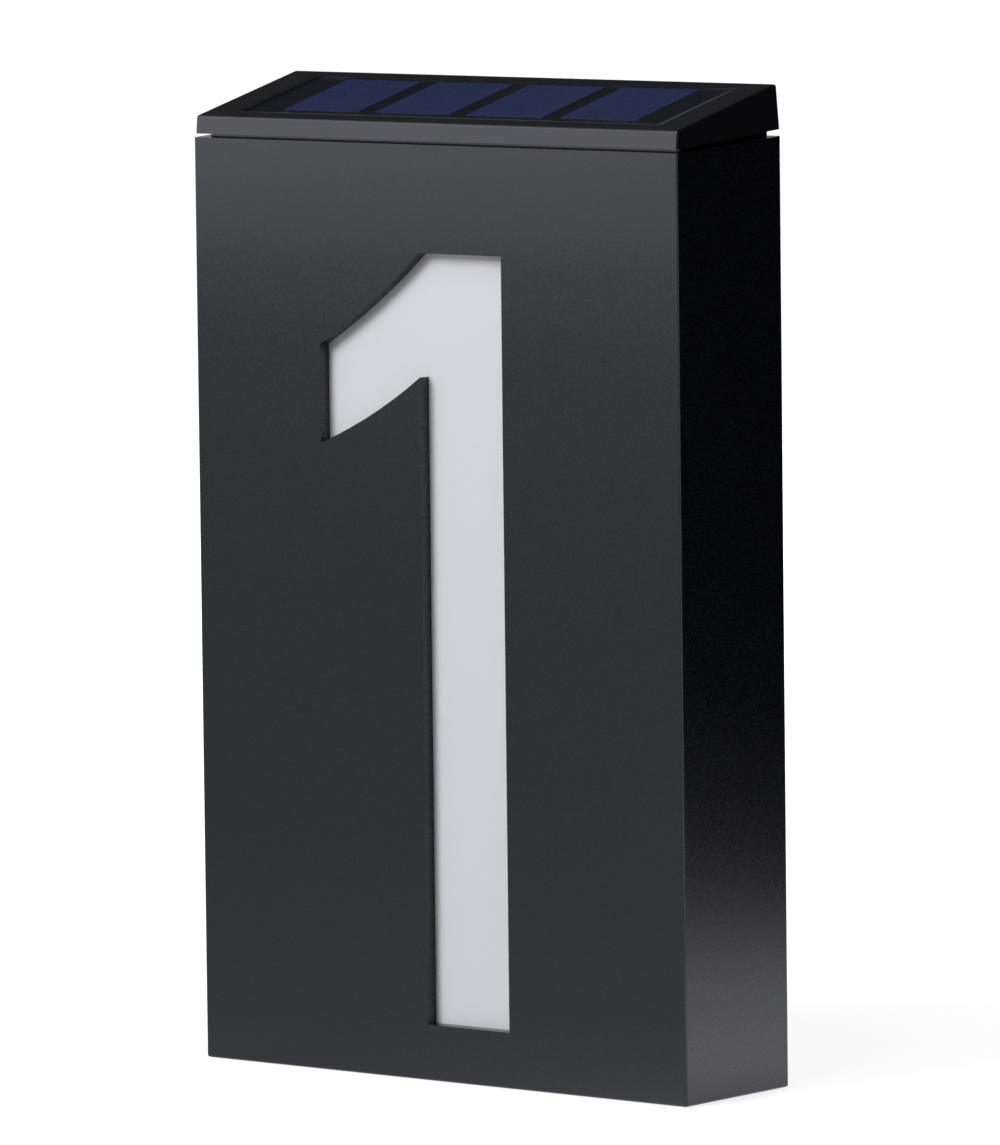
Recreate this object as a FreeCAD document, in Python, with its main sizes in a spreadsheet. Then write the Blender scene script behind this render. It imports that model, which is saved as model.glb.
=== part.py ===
import FreeCAD, Part
import math
import os
import Sketcher

# Illuminated house number sign: a shallow upright box whose front wall is cut through
# with the figure 1, a white diffuser behind the cut, a light well with a curved white
# reflector, a screwed rear cover with two keyholes, and a lift-off solar head on top.
# Millimetres. X runs to the viewer's right, Y to the back and Z up. The origin is the
# middle of the underside of the box; the figure faces -Y.

SIZES = {
    # housing
    "body_width": 132.0,
    "body_depth": 36.0,
    "body_height": 201.0,
    "top_slope": 3.0,
    "side_wall": 1.6,
    "front_wall": 3.0,
    "floor_wall": 2.0,
    "edge_round": 0.6,
    # cut-out figure, seen from the front
    "stem_left": -3.8,
    "stem_width": 22.4,
    "figure_base": 12.1,
    "figure_top_margin": 23.1,
    "flag_left": -31.3,
    "flag_drop": 20.5,
    "flag_height": 21.2,
    "flag_root_drop": 26.6,
    "flag_upper_radius": 176.0,
    "flag_lower_radius": 126.0,
    # screw posts inside the housing
    "post_radius": 3.5,
    "post_from_wall": 6.4,
    "post_low": 10.0,
    "post_top_drop": 35.0,
    "pilot_radius": 1.4,
    "pilot_depth": 11.0,
    "gusset_thickness": 1.6,
    "reflector_post_level": 95.0,
    "reflector_post_length": 12.0,
    "ledge_reach": 3.0,
    "ledge_height": 3.0,
    "ledge_length": 12.0,
    "corner_ledge_length": 5.0,
    "corner_ledge_gap": 1.5,
    # diffuser and reflector
    "diffuser_inset": 0.8,
    "diffuser_low": 6.0,
    "diffuser_neck_gap": 1.0,
    "diffuser_thickness": 2.0,
    "tab_length": 6.0,
    "tab_thickness": 2.0,
    "tab_inset": 6.0,
    "tab_clearance": 0.15,
    "tab_stand": 0.6,
    "reflector_post_gap": 0.7,
    "reflector_neck_gap": 9.0,
    "reflector_sheet": 1.2,
    "reflector_cover_gap": 4.4,
    "reflector_foot_depth": 3.5,
    "reflector_radius": 574.0,
    "ear_height": 12.0,
    "ear_margin": 3.8,
    # rear cover
    "cover_thickness": 1.6,
    "cover_clearance": 0.15,
    "lip_height": 3.0,
    "lip_thickness": 1.2,
    "lip_margin": 0.9,
    "lip_neck_gap": 11.0,
    "lip_relief": 0.3,
    "cup_width": 9.0,
    "cup_height": 1.6,
    "counterbore_radius": 3.3,
    "counterbore_depth": 1.8,
    "keyhole_spacing": 70.0,
    "keyhole_top_drop": 51.0,
    "keyhole_slot": 4.6,
    "keyhole_head": 9.6,
    "keyhole_drop": 8.0,
    "keyhole_pad": 1.2,
    "keyhole_margin": 3.0,
    # fasteners
    "screw_radius": 1.35,
    "screw_head_radius": 2.8,
    "screw_head_height": 1.6,
    "screw_length": 10.0,
    "small_head_radius": 2.4,
    "small_head_height": 1.3,
    "small_screw_length": 7.0,
    # solar head
    "gap_front": 0.8,
    "gap_back": 1.4,
    "cap_inset": 0.25,
    "cap_front_height": 3.9,
    "cap_slope": 13.7,
    "cap_front_lean": 0.35,
    "cap_back_lean": 1.1,
    "rim_round": 0.6,
    "neck_depth": 18.0,
    "neck_clearance": 0.2,
    "neck_wall": 1.6,
    "neck_round": 1.0,
    "neck_lap": 1.2,
    "rest_gap": 0.1,
    "deck_thickness": 1.5,
    "boss_width": 6.0,
    "boss_inset": 2.6,
    "seal_level": 12.0,
    "seal_width": 1.4,
    "seal_depth": 0.9,
    "seal_stand": 0.1,
    "seal_slack": 0.05,
    # solar panel
    "rim_side": 9.0,
    "rim_front": 5.2,
    "rim_back": 3.2,
    "rim_bevel_width": 1.6,
    "rim_bevel_depth": 0.3,
    "panel_recess": 0.35,
    "panel_clearance": 0.25,
    "board_thickness": 1.6,
    "cell_thickness": 0.25,
    "glaze_thickness": 0.2,
    "cell_width": 20.6,
    "cell_height": 22.5,
    "cell_gap": 4.6,
    "cell_count": 4,
    "cell_shift": 0.4,
    "cell_back_shift": 1.2,
    "lead_width": 3.0,
    "lead_thickness": 1.2,
    "lead_inset": 6.0,
    "lead_depth": 7.5,
    "lead_hole_radius": 2.4,
    # battery tray
    "tray_thickness": 1.6,
    "tray_clearance": 0.2,
    "battery_length": 50.5,
    "battery_diameter": 14.5,
    "nub_radius": 2.6,
    "nub_length": 1.0,
    "battery_lift": 0.4,
    "bay_boss_gap": 1.45,
    "bay_clearance": 0.4,
    "bay_wall": 1.2,
    "contact_space": 1.6,
    "contact_sheet": 0.4,
    "contact_width": 8.0,
    "contact_crest": 2.0,
    "door_thickness": 1.6,
    "door_overlap": 1.15,
    "door_clearance": 0.2,
    "track_screw_gap": 1.5,
    "grip_length": 8.0,
    "grip_height": 0.7,
    "rail_wall": 1.2,
    "rail_lip": 1.5,
    "rail_lip_thickness": 1.0,
    "stop_gap": 0.4,
    # electronics
    "led_count": 4,
    "led_end_margin": 5.0,
    "led_radius": 2.5,
    "led_length": 5.6,
    "led_nose": 1.2,
    "led_nose_radius": 1.5,
    "led_rail_gap": 0.3,
    "led_hole_clearance": 0.2,
    "led_board_gap": 0.3,
    "led_switch_gap": 4.5,
    "led_board_width": 6.0,
    "led_board_thickness": 1.2,
    "standoff_height": 4.0,
    "standoff_width": 3.6,
    "standoff_inset": 3.0,
    "circuit_boss_gap": 3.0,
    "circuit_length": 50.0,
    "circuit_width": 16.0,
    "circuit_thickness": 1.6,
    "chip_offset": 14.0,
    "chip_length": 8.0,
    "chip_width": 6.0,
    "chip_height": 1.8,
    "coil_offset": 28.0,
    "coil_radius": 3.0,
    "coil_height": 5.0,
    "capacitor_offset": 38.5,
    "capacitor_radius": 3.1,
    "capacitor_height": 8.0,
    "led_lead_inset": 4.0,
    "led_lead_foot": 1.0,
    "led_lead_rise": 7.0,
    # power switch
    "switch_boss_gap": 0.5,
    "switch_length": 11.0,
    "switch_width": 6.0,
    "switch_height": 5.0,
    "switch_travel": 4.0,
    "knob_length": 4.0,
    "knob_width": 3.0,
    "knob_stand": 2.4,
    "knob_clearance": 0.2,
    "knob_foot": 2.3,
    "switch_slot_depth": 2.5,
}

SHEET_NAME = "Dimensions"
PAST = 2.0      # how far a cutting profile runs past the material that it cuts
SINK = 0.4      # how far a boss or rib roots into the wall that carries it

document = FreeCAD.newDocument("house_number_sign")


class Size:
    """A length, angle or count: its value now, and the sheet formula that gives it."""

    def __init__(self, value, formula):
        self.value = float(value)
        self.formula = formula

    def __add__(self, other):
        other = as_size(other)
        return Size(self.value + other.value, f"({self.formula} + {other.formula})")

    def __radd__(self, other):
        return as_size(other) + self

    def __sub__(self, other):
        other = as_size(other)
        return Size(self.value - other.value, f"({self.formula} - {other.formula})")

    def __rsub__(self, other):
        return as_size(other) - self

    def __mul__(self, other):
        other = as_size(other)
        return Size(self.value * other.value, f"({self.formula} * {other.formula})")

    def __rmul__(self, other):
        return as_size(other) * self

    def __truediv__(self, other):
        other = as_size(other)
        return Size(self.value / other.value, f"({self.formula} / {other.formula})")

    def __neg__(self):
        return Size(-self.value, f"(0 - {self.formula})")


def as_size(amount):
    if isinstance(amount, Size):
        return amount
    return Size(amount, repr(amount))


def tan(angle):
    return Size(math.tan(math.radians(angle.value)), f"tan({angle.formula})")


def sin(angle):
    return Size(math.sin(math.radians(angle.value)), f"sin({angle.formula})")


def cos(angle):
    return Size(math.cos(math.radians(angle.value)), f"cos({angle.formula})")


def make_sheet():
    """Writes the driving dimensions to a sheet and gives them back by name."""
    sheet = document.addObject("Spreadsheet::Sheet", SHEET_NAME)
    for row, (alias, number) in enumerate(SIZES.items(), start=1):
        sheet.set(f"A{row}", alias)
        sheet.set(f"B{row}", str(number))
        sheet.setAlias(f"B{row}", alias)
    document.recompute()
    return {alias: Size(sheet.get(alias), f"{SHEET_NAME}.{alias}") for alias in SIZES}


size = make_sheet()


# ---------------------------------------------------------------- sketches and features

def bind(item, path, amount):
    item.setExpression(path, as_size(amount).formula)


def new_body(label):
    body = document.addObject("PartDesign::Body", label)
    body.Label = label
    return body


def new_sketch(body, name, plane, offset=0.0):
    """A sketch on one of the body's origin planes, moved along the plane's normal."""
    sketch = body.newObject("Sketcher::SketchObject", f"{body.Label}_{name}")
    origin_plane = next(item for item in body.Origin.OriginFeatures if item.Role == f"{plane}_Plane")
    sketch.AttachmentSupport = [(origin_plane, "")]
    sketch.MapMode = "FlatFace"
    sketch.AttachmentOffset = FreeCAD.Placement(
        FreeCAD.Vector(0, 0, as_size(offset).value), FreeCAD.Rotation())
    bind(sketch, "AttachmentOffset.Base.z", offset)
    return sketch


def bound_constraint(sketch, kind, references, amount):
    constraint = Sketcher.Constraint(kind, *references, as_size(amount).value)
    index = sketch.addConstraint(constraint)
    bind(sketch, f"Constraints[{index}]", amount)


def pin_point(sketch, element, end, x, y):
    """Holds a point of the sketch at bound coordinates, or on an axis where one is zero."""
    if as_size(x).value == 0.0:
        sketch.addConstraint(Sketcher.Constraint("PointOnObject", element, end, -2))
    else:
        bound_constraint(sketch, "DistanceX", (-1, 1, element, end), x)
    if as_size(y).value == 0.0:
        sketch.addConstraint(Sketcher.Constraint("PointOnObject", element, end, -1))
    else:
        bound_constraint(sketch, "DistanceY", (-1, 1, element, end), y)


def arc_between(start, end, radius, centre_side):
    """The short arc from start to end with its centre on the left or right of the way."""
    chord = end - start
    middle = (start + end) * 0.5
    reach = math.sqrt(radius ** 2 - (chord.Length / 2) ** 2)
    left = FreeCAD.Vector(-chord.y, chord.x, 0).normalize()
    centre = middle + left * (reach if centre_side == "left" else -reach)
    first, last = (start, end) if centre_side == "left" else (end, start)
    circle = Part.Circle(centre, FreeCAD.Vector(0, 0, 1), radius)
    angles = [math.atan2(point.y - centre.y, point.x - centre.x) for point in (first, last)]
    if angles[1] < angles[0]:
        angles[1] += 2 * math.pi
    return Part.ArcOfCircle(circle, angles[0], angles[1])


def draw_outline(sketch, corners, arcs=None):
    """A closed outline through the corners. arcs: {corner index: (radius, centre side)}."""
    arcs = arcs or {}
    points = [FreeCAD.Vector(as_size(x).value, as_size(y).value, 0) for x, y in corners]
    ends = []
    for index, start in enumerate(points):
        end = points[(index + 1) % len(points)]
        if index in arcs:
            radius, side = arcs[index]
            element = sketch.addGeometry(arc_between(start, end, as_size(radius).value, side))
            ends.append((element, 1, 2) if side == "left" else (element, 2, 1))
        else:
            element = sketch.addGeometry(Part.LineSegment(start, end))
            ends.append((element, 1, 2))
    for index, (element, first, last) in enumerate(ends):
        following = ends[(index + 1) % len(ends)]
        sketch.addConstraint(
            Sketcher.Constraint("Coincident", element, last, following[0], following[1]))
        pin_point(sketch, element, first, *corners[index])
        if index in arcs:
            bound_constraint(sketch, "Radius", (element,), arcs[index][0])


def draw_rectangle(sketch, left, low, right, high):
    draw_outline(sketch, [(left, low), (right, low), (right, high), (left, high)])


def draw_square(sketch, x, y, width):
    draw_rectangle(sketch, x - width / 2, y - width / 2, x + width / 2, y + width / 2)


def draw_circle(sketch, x, y, radius):
    centre = FreeCAD.Vector(as_size(x).value, as_size(y).value, 0)
    circle = Part.Circle(centre, FreeCAD.Vector(0, 0, 1), as_size(radius).value)
    element = sketch.addGeometry(circle)
    pin_point(sketch, element, 3, x, y)
    bound_constraint(sketch, "Radius", (element,), radius)


def extrude(body, kind, sketch, length, both_ways=False, reverse=False):
    feature = body.newObject(f"PartDesign::{kind}", f"{sketch.Name}_{kind.lower()}")
    feature.Profile = sketch
    feature.SideType = "Symmetric" if both_ways else "One side"
    feature.Reversed = reverse
    feature.Length = as_size(length).value
    bind(feature, "Length", length)
    sketch.Visibility = False
    return feature


def pad(body, sketch, length, **options):
    return extrude(body, "Pad", sketch, length, **options)


def pocket(body, sketch, length, **options):
    return extrude(body, "Pocket", sketch, length, **options)


def edges_that_pass(base, chosen):
    """Names of the base feature's edges whose two ends pass the test."""
    document.recompute()
    names = []
    for number, edge in enumerate(base.Shape.Edges, start=1):
        if len(edge.Vertexes) == 2 and chosen(edge.Vertexes[0].Point, edge.Vertexes[1].Point):
            names.append(f"Edge{number}")
    return names


def round_edges(body, base, name, radius, chosen):
    """Rounds the chosen edges of the base feature."""
    fillet = body.newObject("PartDesign::Fillet", f"{body.Label}_{name}")
    fillet.Base = (base, edges_that_pass(base, chosen))
    fillet.Radius = as_size(radius).value
    bind(fillet, "Radius", radius)
    return fillet


def bevel_edges(body, base, name, width, depth, chosen):
    """Cuts a shallow bevel: width along the top face, depth down the wall of the recess."""
    chamfer = body.newObject("PartDesign::Chamfer", f"{body.Label}_{name}")
    chamfer.Base = (base, edges_that_pass(base, chosen))
    chamfer.ChamferType = "Two distances"
    chamfer.Size = as_size(width).value
    chamfer.Size2 = as_size(depth).value
    bind(chamfer, "Size", width)
    bind(chamfer, "Size2", depth)
    return chamfer


def place(item, x=0.0, y=0.0, z=0.0):
    position = FreeCAD.Vector(as_size(x).value, as_size(y).value, as_size(z).value)
    item.Placement = FreeCAD.Placement(position, FreeCAD.Rotation())
    for path, amount in (("x", x), ("y", y), ("z", z)):
        bind(item, f"Placement.Base.{path}", amount)


def box(name, left, right, front, back, low, high):
    item = document.addObject("Part::Box", name)
    bind(item, "Length", right - left)
    bind(item, "Width", back - front)
    bind(item, "Height", high - low)
    place(item, left, front, low)
    return item


def upright_cylinder(name, x, y, low, high, radius):
    item = document.addObject("Part::Cylinder", name)
    bind(item, "Radius", radius)
    bind(item, "Height", high - low)
    place(item, x, y, low)
    return item


def level_cylinder(name, x, z, front, back, radius):
    """A cylinder whose axis runs along Y."""
    item = document.addObject("Part::Cylinder", name)
    bind(item, "Radius", radius)
    bind(item, "Height", back - front)
    place(item, x, front, z)
    item.Placement.Rotation = FreeCAD.Rotation(FreeCAD.Vector(1, 0, 0), -90)
    return item


def eight_sided_shank(name, x, y, z, length):
    """A screw's shank from its tip upwards. Flat sides stand for the thread."""
    item = document.addObject("Part::Prism", name)
    item.Polygon = 8
    bind(item, "Circumradius", size["screw_radius"])
    bind(item, "Height", length)
    place(item, x, y, z)
    return item


def join(label, items):
    joined = document.addObject("Part::MultiFuse", label)
    joined.Label = label
    joined.Shapes = items
    return joined


def label_as(item, label):
    item.Label = label
    return item


# ------------------------------------------------------------- planes the pieces share

half_width = size["body_width"] / 2
front_face = -(size["body_depth"] / 2)
back_face = size["body_depth"] / 2
body_top_front = size["body_height"]
body_top_back = body_top_front + size["body_depth"] * tan(size["top_slope"])
inner_half_width = half_width - size["side_wall"]
inner_front = front_face + size["front_wall"]
cover_inside = back_face - size["cover_thickness"]
cup_inside = cover_inside - size["cup_height"]
diffuser_back = inner_front + size["diffuser_thickness"]
post_x = inner_half_width - size["post_from_wall"]
post_high = body_top_front - size["post_top_drop"]
post_levels = (size["post_low"], post_high)
keyhole_level = body_top_front - size["keyhole_top_drop"]
ear_front = inner_front + size["reflector_post_length"]
ear_back = ear_front + size["reflector_sheet"]

figure_top = body_top_front - size["figure_top_margin"]
reflector_half_width = post_x - size["post_radius"] - size["reflector_post_gap"]
diffuser_half_width = reflector_half_width - size["diffuser_inset"]

neck_bottom = body_top_front - size["neck_depth"]
diffuser_high = neck_bottom - size["diffuser_neck_gap"]
reflector_high = neck_bottom - size["reflector_neck_gap"]
neck_half_width = inner_half_width - size["neck_clearance"]
neck_front = inner_front + size["neck_clearance"]
neck_back = cover_inside - size["neck_clearance"]
well_half_width = neck_half_width - size["neck_wall"]
well_front = neck_front + size["neck_wall"]
well_back = neck_back - size["neck_wall"]
boss_x = well_half_width - size["boss_inset"]
boss_front = well_front + size["boss_inset"]
boss_back = well_back - size["boss_inset"]
tray_top = neck_bottom + size["tray_thickness"]

cap_half_width = half_width - size["cap_inset"]
cap_low_front = (front_face + size["cap_inset"], body_top_front + size["gap_front"])
cap_low_back = (back_face - size["cap_inset"], body_top_back + size["gap_back"])
cap_high_front = (cap_low_front[0] + size["cap_front_lean"], cap_low_front[1] + size["cap_front_height"])
cap_back_y = cap_low_back[0] - size["cap_back_lean"]


def slope_height(y):
    """Height of the sloping top face over the depth y."""
    return cap_high_front[1] + (y - cap_high_front[0]) * tan(size["cap_slope"])


cap_high_back = (cap_back_y, slope_height(cap_back_y))
slope_length = (cap_back_y - cap_high_front[0]) / cos(size["cap_slope"])
panel_stack = size["board_thickness"] + size["cell_thickness"] + size["glaze_thickness"]
panel_depth = size["panel_recess"] + panel_stack
panel_length = slope_length - size["rim_front"] - size["rim_back"]
panel_half_width = cap_half_width - size["rim_side"]


def deck_underside(y):
    """Height of the underside of the deck that carries the panel."""
    return slope_height(y) - (panel_depth + size["deck_thickness"]) / cos(size["cap_slope"])


def on_slope(along, above):
    """A point of the cap's section, along the slope from its front edge and above it."""
    y = cap_high_front[0] + along * cos(size["cap_slope"]) - above * sin(size["cap_slope"])
    z = cap_high_front[1] + along * sin(size["cap_slope"]) + above * cos(size["cap_slope"])
    return y, z


boss_inner_x = boss_x - size["boss_width"] / 2
bay_half_length = size["battery_length"] / 2 + size["contact_space"]
bay_half_width = size["battery_diameter"] / 2 + size["bay_clearance"]
bay_x = bay_half_length + size["bay_wall"] + size["bay_boss_gap"] - boss_inner_x
bay_high = neck_bottom + size["battery_lift"] + size["battery_diameter"] + size["bay_clearance"]
battery_axis = neck_bottom + size["battery_lift"] + size["battery_diameter"] / 2
door_half_length = bay_half_length + size["door_overlap"]
door_half_width = bay_half_width + size["door_overlap"]
door_top = neck_bottom - size["door_clearance"]
door_bottom = door_top - size["door_thickness"]
rail_inside = door_half_width + size["door_clearance"]
rail_low = door_bottom - size["door_clearance"] - size["rail_lip_thickness"]
led_y = well_front + size["led_board_gap"] + size["led_board_width"] / 2
bay_y = led_y + size["led_radius"] + size["led_rail_gap"] + size["rail_wall"] + rail_inside
track_left = bay_x - door_half_length - size["stop_gap"]
track_right = boss_x - size["small_head_radius"] - size["track_screw_gap"] - size["rail_wall"]
door_travel = track_right - size["stop_gap"] - door_half_length - bay_x
circuit_right = boss_inner_x - size["circuit_boss_gap"]
circuit_left = circuit_right - size["circuit_length"]
circuit_front = bay_y - size["circuit_width"] / 2
circuit_back = bay_y + size["circuit_width"] / 2
lead_x = circuit_right - size["lead_inset"]
switch_x = boss_inner_x - size["switch_boss_gap"] - size["switch_length"] / 2
circuit_low = tray_top + size["standoff_height"]
circuit_top = circuit_low + size["circuit_thickness"]
led_board_top = tray_top + size["led_board_thickness"]
led_board_half = switch_x - size["switch_length"] / 2 - size["led_switch_gap"]
led_reach = led_board_half - size["led_end_margin"]
led_places = [led_reach * (2 * index / (SIZES["led_count"] - 1) - 1)
              for index in range(SIZES["led_count"])]


# ----------------------------------------------------------------------------- housing

def make_housing_shell():
    """The moulded box: front wall with the cut figure, sides and floor, open behind."""
    body = new_body("housing_shell")

    block = new_sketch(body, "block", "YZ")
    draw_outline(block, [(front_face, 0.0), (back_face, 0.0),
                         (back_face, body_top_back), (front_face, body_top_front)])
    solid = pad(body, block, size["body_width"], both_ways=True)

    def on_outer_corner(first, last):
        upright = abs(first.x - last.x) < 0.01 and abs(first.y - last.y) < 0.01
        on_floor = abs(first.z) < 0.01 and abs(last.z) < 0.01
        return upright or on_floor

    round_edges(body, solid, "round", size["edge_round"], on_outer_corner)

    hollow = new_sketch(body, "hollow", "YZ")
    draw_outline(hollow, [(inner_front, size["floor_wall"]),
                          (back_face + PAST, size["floor_wall"]),
                          (back_face + PAST, body_top_back + PAST),
                          (inner_front, body_top_back + PAST)])
    pocket(body, hollow, inner_half_width * 2, both_ways=True)

    figure = new_sketch(body, "figure", "XZ", -front_face)
    stem_right = size["stem_left"] + size["stem_width"]
    flag_high = figure_top - size["flag_drop"]
    draw_outline(figure,
                 [(size["stem_left"], size["figure_base"]),
                  (stem_right, size["figure_base"]),
                  (stem_right, figure_top),
                  (size["stem_left"], figure_top),
                  (size["flag_left"], flag_high),
                  (size["flag_left"], flag_high - size["flag_height"]),
                  (size["stem_left"], figure_top - size["flag_root_drop"])],
                 arcs={3: (size["flag_upper_radius"], "right"),
                       5: (size["flag_lower_radius"], "left")})
    pocket(body, figure, size["front_wall"] + PAST)

    root = -inner_front + SINK
    posts = new_sketch(body, "posts", "XZ", root)
    for side in (-1, 1):
        for level in post_levels:
            draw_circle(posts, post_x * side, level, size["post_radius"])
    pad(body, posts, cup_inside - inner_front + SINK, reverse=True)

    short_posts = new_sketch(body, "short_posts", "XZ", root)
    for side in (-1, 1):
        draw_circle(short_posts, post_x * side, size["reflector_post_level"], size["post_radius"])
    pad(body, short_posts, size["reflector_post_length"] + SINK, reverse=True)

    gussets = new_sketch(body, "gussets", "XZ", root)
    for side in (-1, 1):
        for level in post_levels:
            draw_rectangle(gussets,
                           post_x * side, level - size["gusset_thickness"] / 2,
                           (inner_half_width + SINK) * side, level + size["gusset_thickness"] / 2)
    gusset_back = cover_inside - size["lip_height"] - size["lip_relief"]
    pad(body, gussets, gusset_back - inner_front + SINK, reverse=True)

    short_gussets = new_sketch(body, "short_gussets", "XZ", root)
    for side in (-1, 1):
        low = size["reflector_post_level"] - size["gusset_thickness"] / 2
        draw_rectangle(short_gussets, post_x * side, low,
                       (inner_half_width + SINK) * side, low + size["gusset_thickness"])
    pad(body, short_gussets, size["reflector_post_length"] + SINK, reverse=True)

    pilots = new_sketch(body, "pilots", "XZ", -cup_inside)
    for side in (-1, 1):
        for level in post_levels:
            draw_circle(pilots, post_x * side, level, size["pilot_radius"])
    pocket(body, pilots, size["pilot_depth"], reverse=True)

    short_pilots = new_sketch(body, "short_pilots", "XZ", -ear_front)
    for side in (-1, 1):
        draw_circle(short_pilots, post_x * side, size["reflector_post_level"], size["pilot_radius"])
    pocket(body, short_pilots, size["small_screw_length"], reverse=True)

    tabs = new_sketch(body, "tabs", "XZ", root)
    draw_tabs(tabs, 0.0)
    pad(body, tabs, size["diffuser_thickness"] + size["tab_stand"] + SINK, reverse=True)

    ledge_top = neck_bottom - size["rest_gap"]
    side_ledges = new_sketch(body, "ledges", "XY", ledge_top - size["ledge_height"])
    for side in (-1, 1):
        draw_rectangle(side_ledges,
                       (inner_half_width - size["ledge_reach"]) * side, -(size["ledge_length"] / 2),
                       (inner_half_width + SINK) * side, size["ledge_length"] / 2)
        corner = diffuser_half_width + size["corner_ledge_gap"]
        draw_rectangle(side_ledges, corner * side, inner_front - SINK,
                       (corner + size["corner_ledge_length"]) * side, well_front)
    pad(body, side_ledges, size["ledge_height"])
    return body


def draw_tabs(sketch, clearance):
    """The four locating tabs, or with a clearance the slots that they fit."""
    half_length = size["tab_length"] / 2 + clearance
    half_height = size["tab_thickness"] / 2 + clearance
    x = diffuser_half_width - size["tab_inset"]
    for side in (-1, 1):
        for level in (size["diffuser_low"] + size["tab_inset"], diffuser_high - size["tab_inset"]):
            draw_rectangle(sketch, x * side - half_length, level - half_height,
                           x * side + half_length, level + half_height)


def make_digit_diffuser():
    """The white sheet that closes the figure from behind, on four tabs."""
    body = new_body("digit_diffuser")
    sheet = new_sketch(body, "sheet", "XZ", -inner_front)
    draw_rectangle(sheet, -diffuser_half_width, size["diffuser_low"],
                   diffuser_half_width, diffuser_high)
    draw_tabs(sheet, size["tab_clearance"])
    pad(body, sheet, size["diffuser_thickness"], reverse=True)
    return body


def make_reflector():
    """The white tray behind the diffuser: its curved back throws the light forward."""
    body = new_body("reflector")
    low = size["diffuser_low"]
    high = reflector_high
    sheet = size["reflector_sheet"]
    top_y = cover_inside - size["reflector_cover_gap"]
    foot_y = diffuser_back + size["reflector_foot_depth"]

    block = new_sketch(body, "block", "YZ")
    draw_outline(block, [(diffuser_back, low), (foot_y, low), (top_y, high), (diffuser_back, high)],
                 arcs={1: (size["reflector_radius"], "left")})
    pad(body, block, reflector_half_width * 2, both_ways=True)

    hollow = new_sketch(body, "hollow", "YZ")
    draw_outline(hollow,
                 [(diffuser_back - PAST, low + sheet),
                  (foot_y - sheet, low + sheet),
                  (top_y - sheet, high),
                  (top_y - sheet, high + PAST),
                  (diffuser_back - PAST, high + PAST)],
                 arcs={1: (size["reflector_radius"], "left")})
    pocket(body, hollow, (reflector_half_width - sheet) * 2, both_ways=True)

    ears = new_sketch(body, "ears", "XZ", -ear_front)
    ear_low = size["reflector_post_level"] - size["ear_height"] / 2
    for side in (-1, 1):
        draw_rectangle(ears, (reflector_half_width - SINK) * side, ear_low,
                       (post_x + size["ear_margin"]) * side, ear_low + size["ear_height"])
        draw_circle(ears, post_x * side, size["reflector_post_level"], size["pilot_radius"])
    pad(body, ears, sheet, reverse=True)
    return body


def make_rear_cover():
    """The flush back plate: stiffening lip, four screw cups and two keyholes."""
    body = new_body("rear_cover")
    cover_half_width = inner_half_width - size["cover_clearance"]
    cover_low = size["floor_wall"] + size["cover_clearance"]
    inner_top = body_top_back - size["cover_thickness"] * tan(size["top_slope"])

    plate = new_sketch(body, "plate", "YZ")
    draw_outline(plate, [(cover_inside, cover_low), (back_face, cover_low),
                         (back_face, body_top_back), (cover_inside, inner_top)])
    pad(body, plate, cover_half_width * 2, both_ways=True)

    lip = new_sketch(body, "lip", "XZ", -cover_inside)
    lip_half = cover_half_width - size["lip_margin"]
    lip_low = cover_low + size["lip_margin"]
    lip_top = neck_bottom - size["lip_neck_gap"]
    draw_rectangle(lip, -lip_half, lip_low, lip_half, lip_top)
    draw_rectangle(lip, -(lip_half - size["lip_thickness"]), lip_low + size["lip_thickness"],
                   lip_half - size["lip_thickness"], lip_top - size["lip_thickness"])
    pad(body, lip, size["lip_height"])

    cups = new_sketch(body, "cups", "XZ", -cover_inside)
    for side in (-1, 1):
        for level in post_levels:
            draw_square(cups, post_x * side, level, size["cup_width"])
    pad(body, cups, size["cup_height"])

    pads = new_sketch(body, "keyhole_pads", "XZ", -cover_inside)
    reach = size["keyhole_head"] / 2 + size["keyhole_margin"]
    for side in (-1, 1):
        centre = size["keyhole_spacing"] / 2 * side
        draw_rectangle(pads, centre - reach, keyhole_level - size["keyhole_drop"] - reach,
                       centre + reach, keyhole_level + reach)
    pad(body, pads, size["keyhole_pad"])

    heads = new_sketch(body, "keyhole_heads", "XZ", -back_face)
    for side in (-1, 1):
        draw_circle(heads, size["keyhole_spacing"] / 2 * side,
                    keyhole_level - size["keyhole_drop"], size["keyhole_head"] / 2)
    pocket(body, heads, size["cover_thickness"] + size["keyhole_pad"] + PAST, reverse=True)

    slots = new_sketch(body, "keyhole_slots", "XZ", -back_face)
    slot_half = size["keyhole_slot"] / 2
    for side in (-1, 1):
        centre = size["keyhole_spacing"] / 2 * side
        draw_outline(slots,
                     [(centre - slot_half, keyhole_level - size["keyhole_drop"]),
                      (centre + slot_half, keyhole_level - size["keyhole_drop"]),
                      (centre + slot_half, keyhole_level),
                      (centre, keyhole_level + slot_half),
                      (centre - slot_half, keyhole_level)],
                     arcs={2: (slot_half, "left"), 3: (slot_half, "left")})
    pocket(body, slots, size["cover_thickness"] + size["keyhole_pad"] + PAST, reverse=True)

    bores = new_sketch(body, "counterbores", "XZ", -back_face)
    through = new_sketch(body, "screw_holes", "XZ", -back_face)
    for side in (-1, 1):
        for level in post_levels:
            draw_circle(bores, post_x * side, level, size["counterbore_radius"])
            draw_circle(through, post_x * side, level, size["pilot_radius"])
    pocket(body, bores, size["counterbore_depth"], reverse=True)
    pocket(body, through, size["cover_thickness"] + size["cup_height"] + PAST, reverse=True)
    return body


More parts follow.
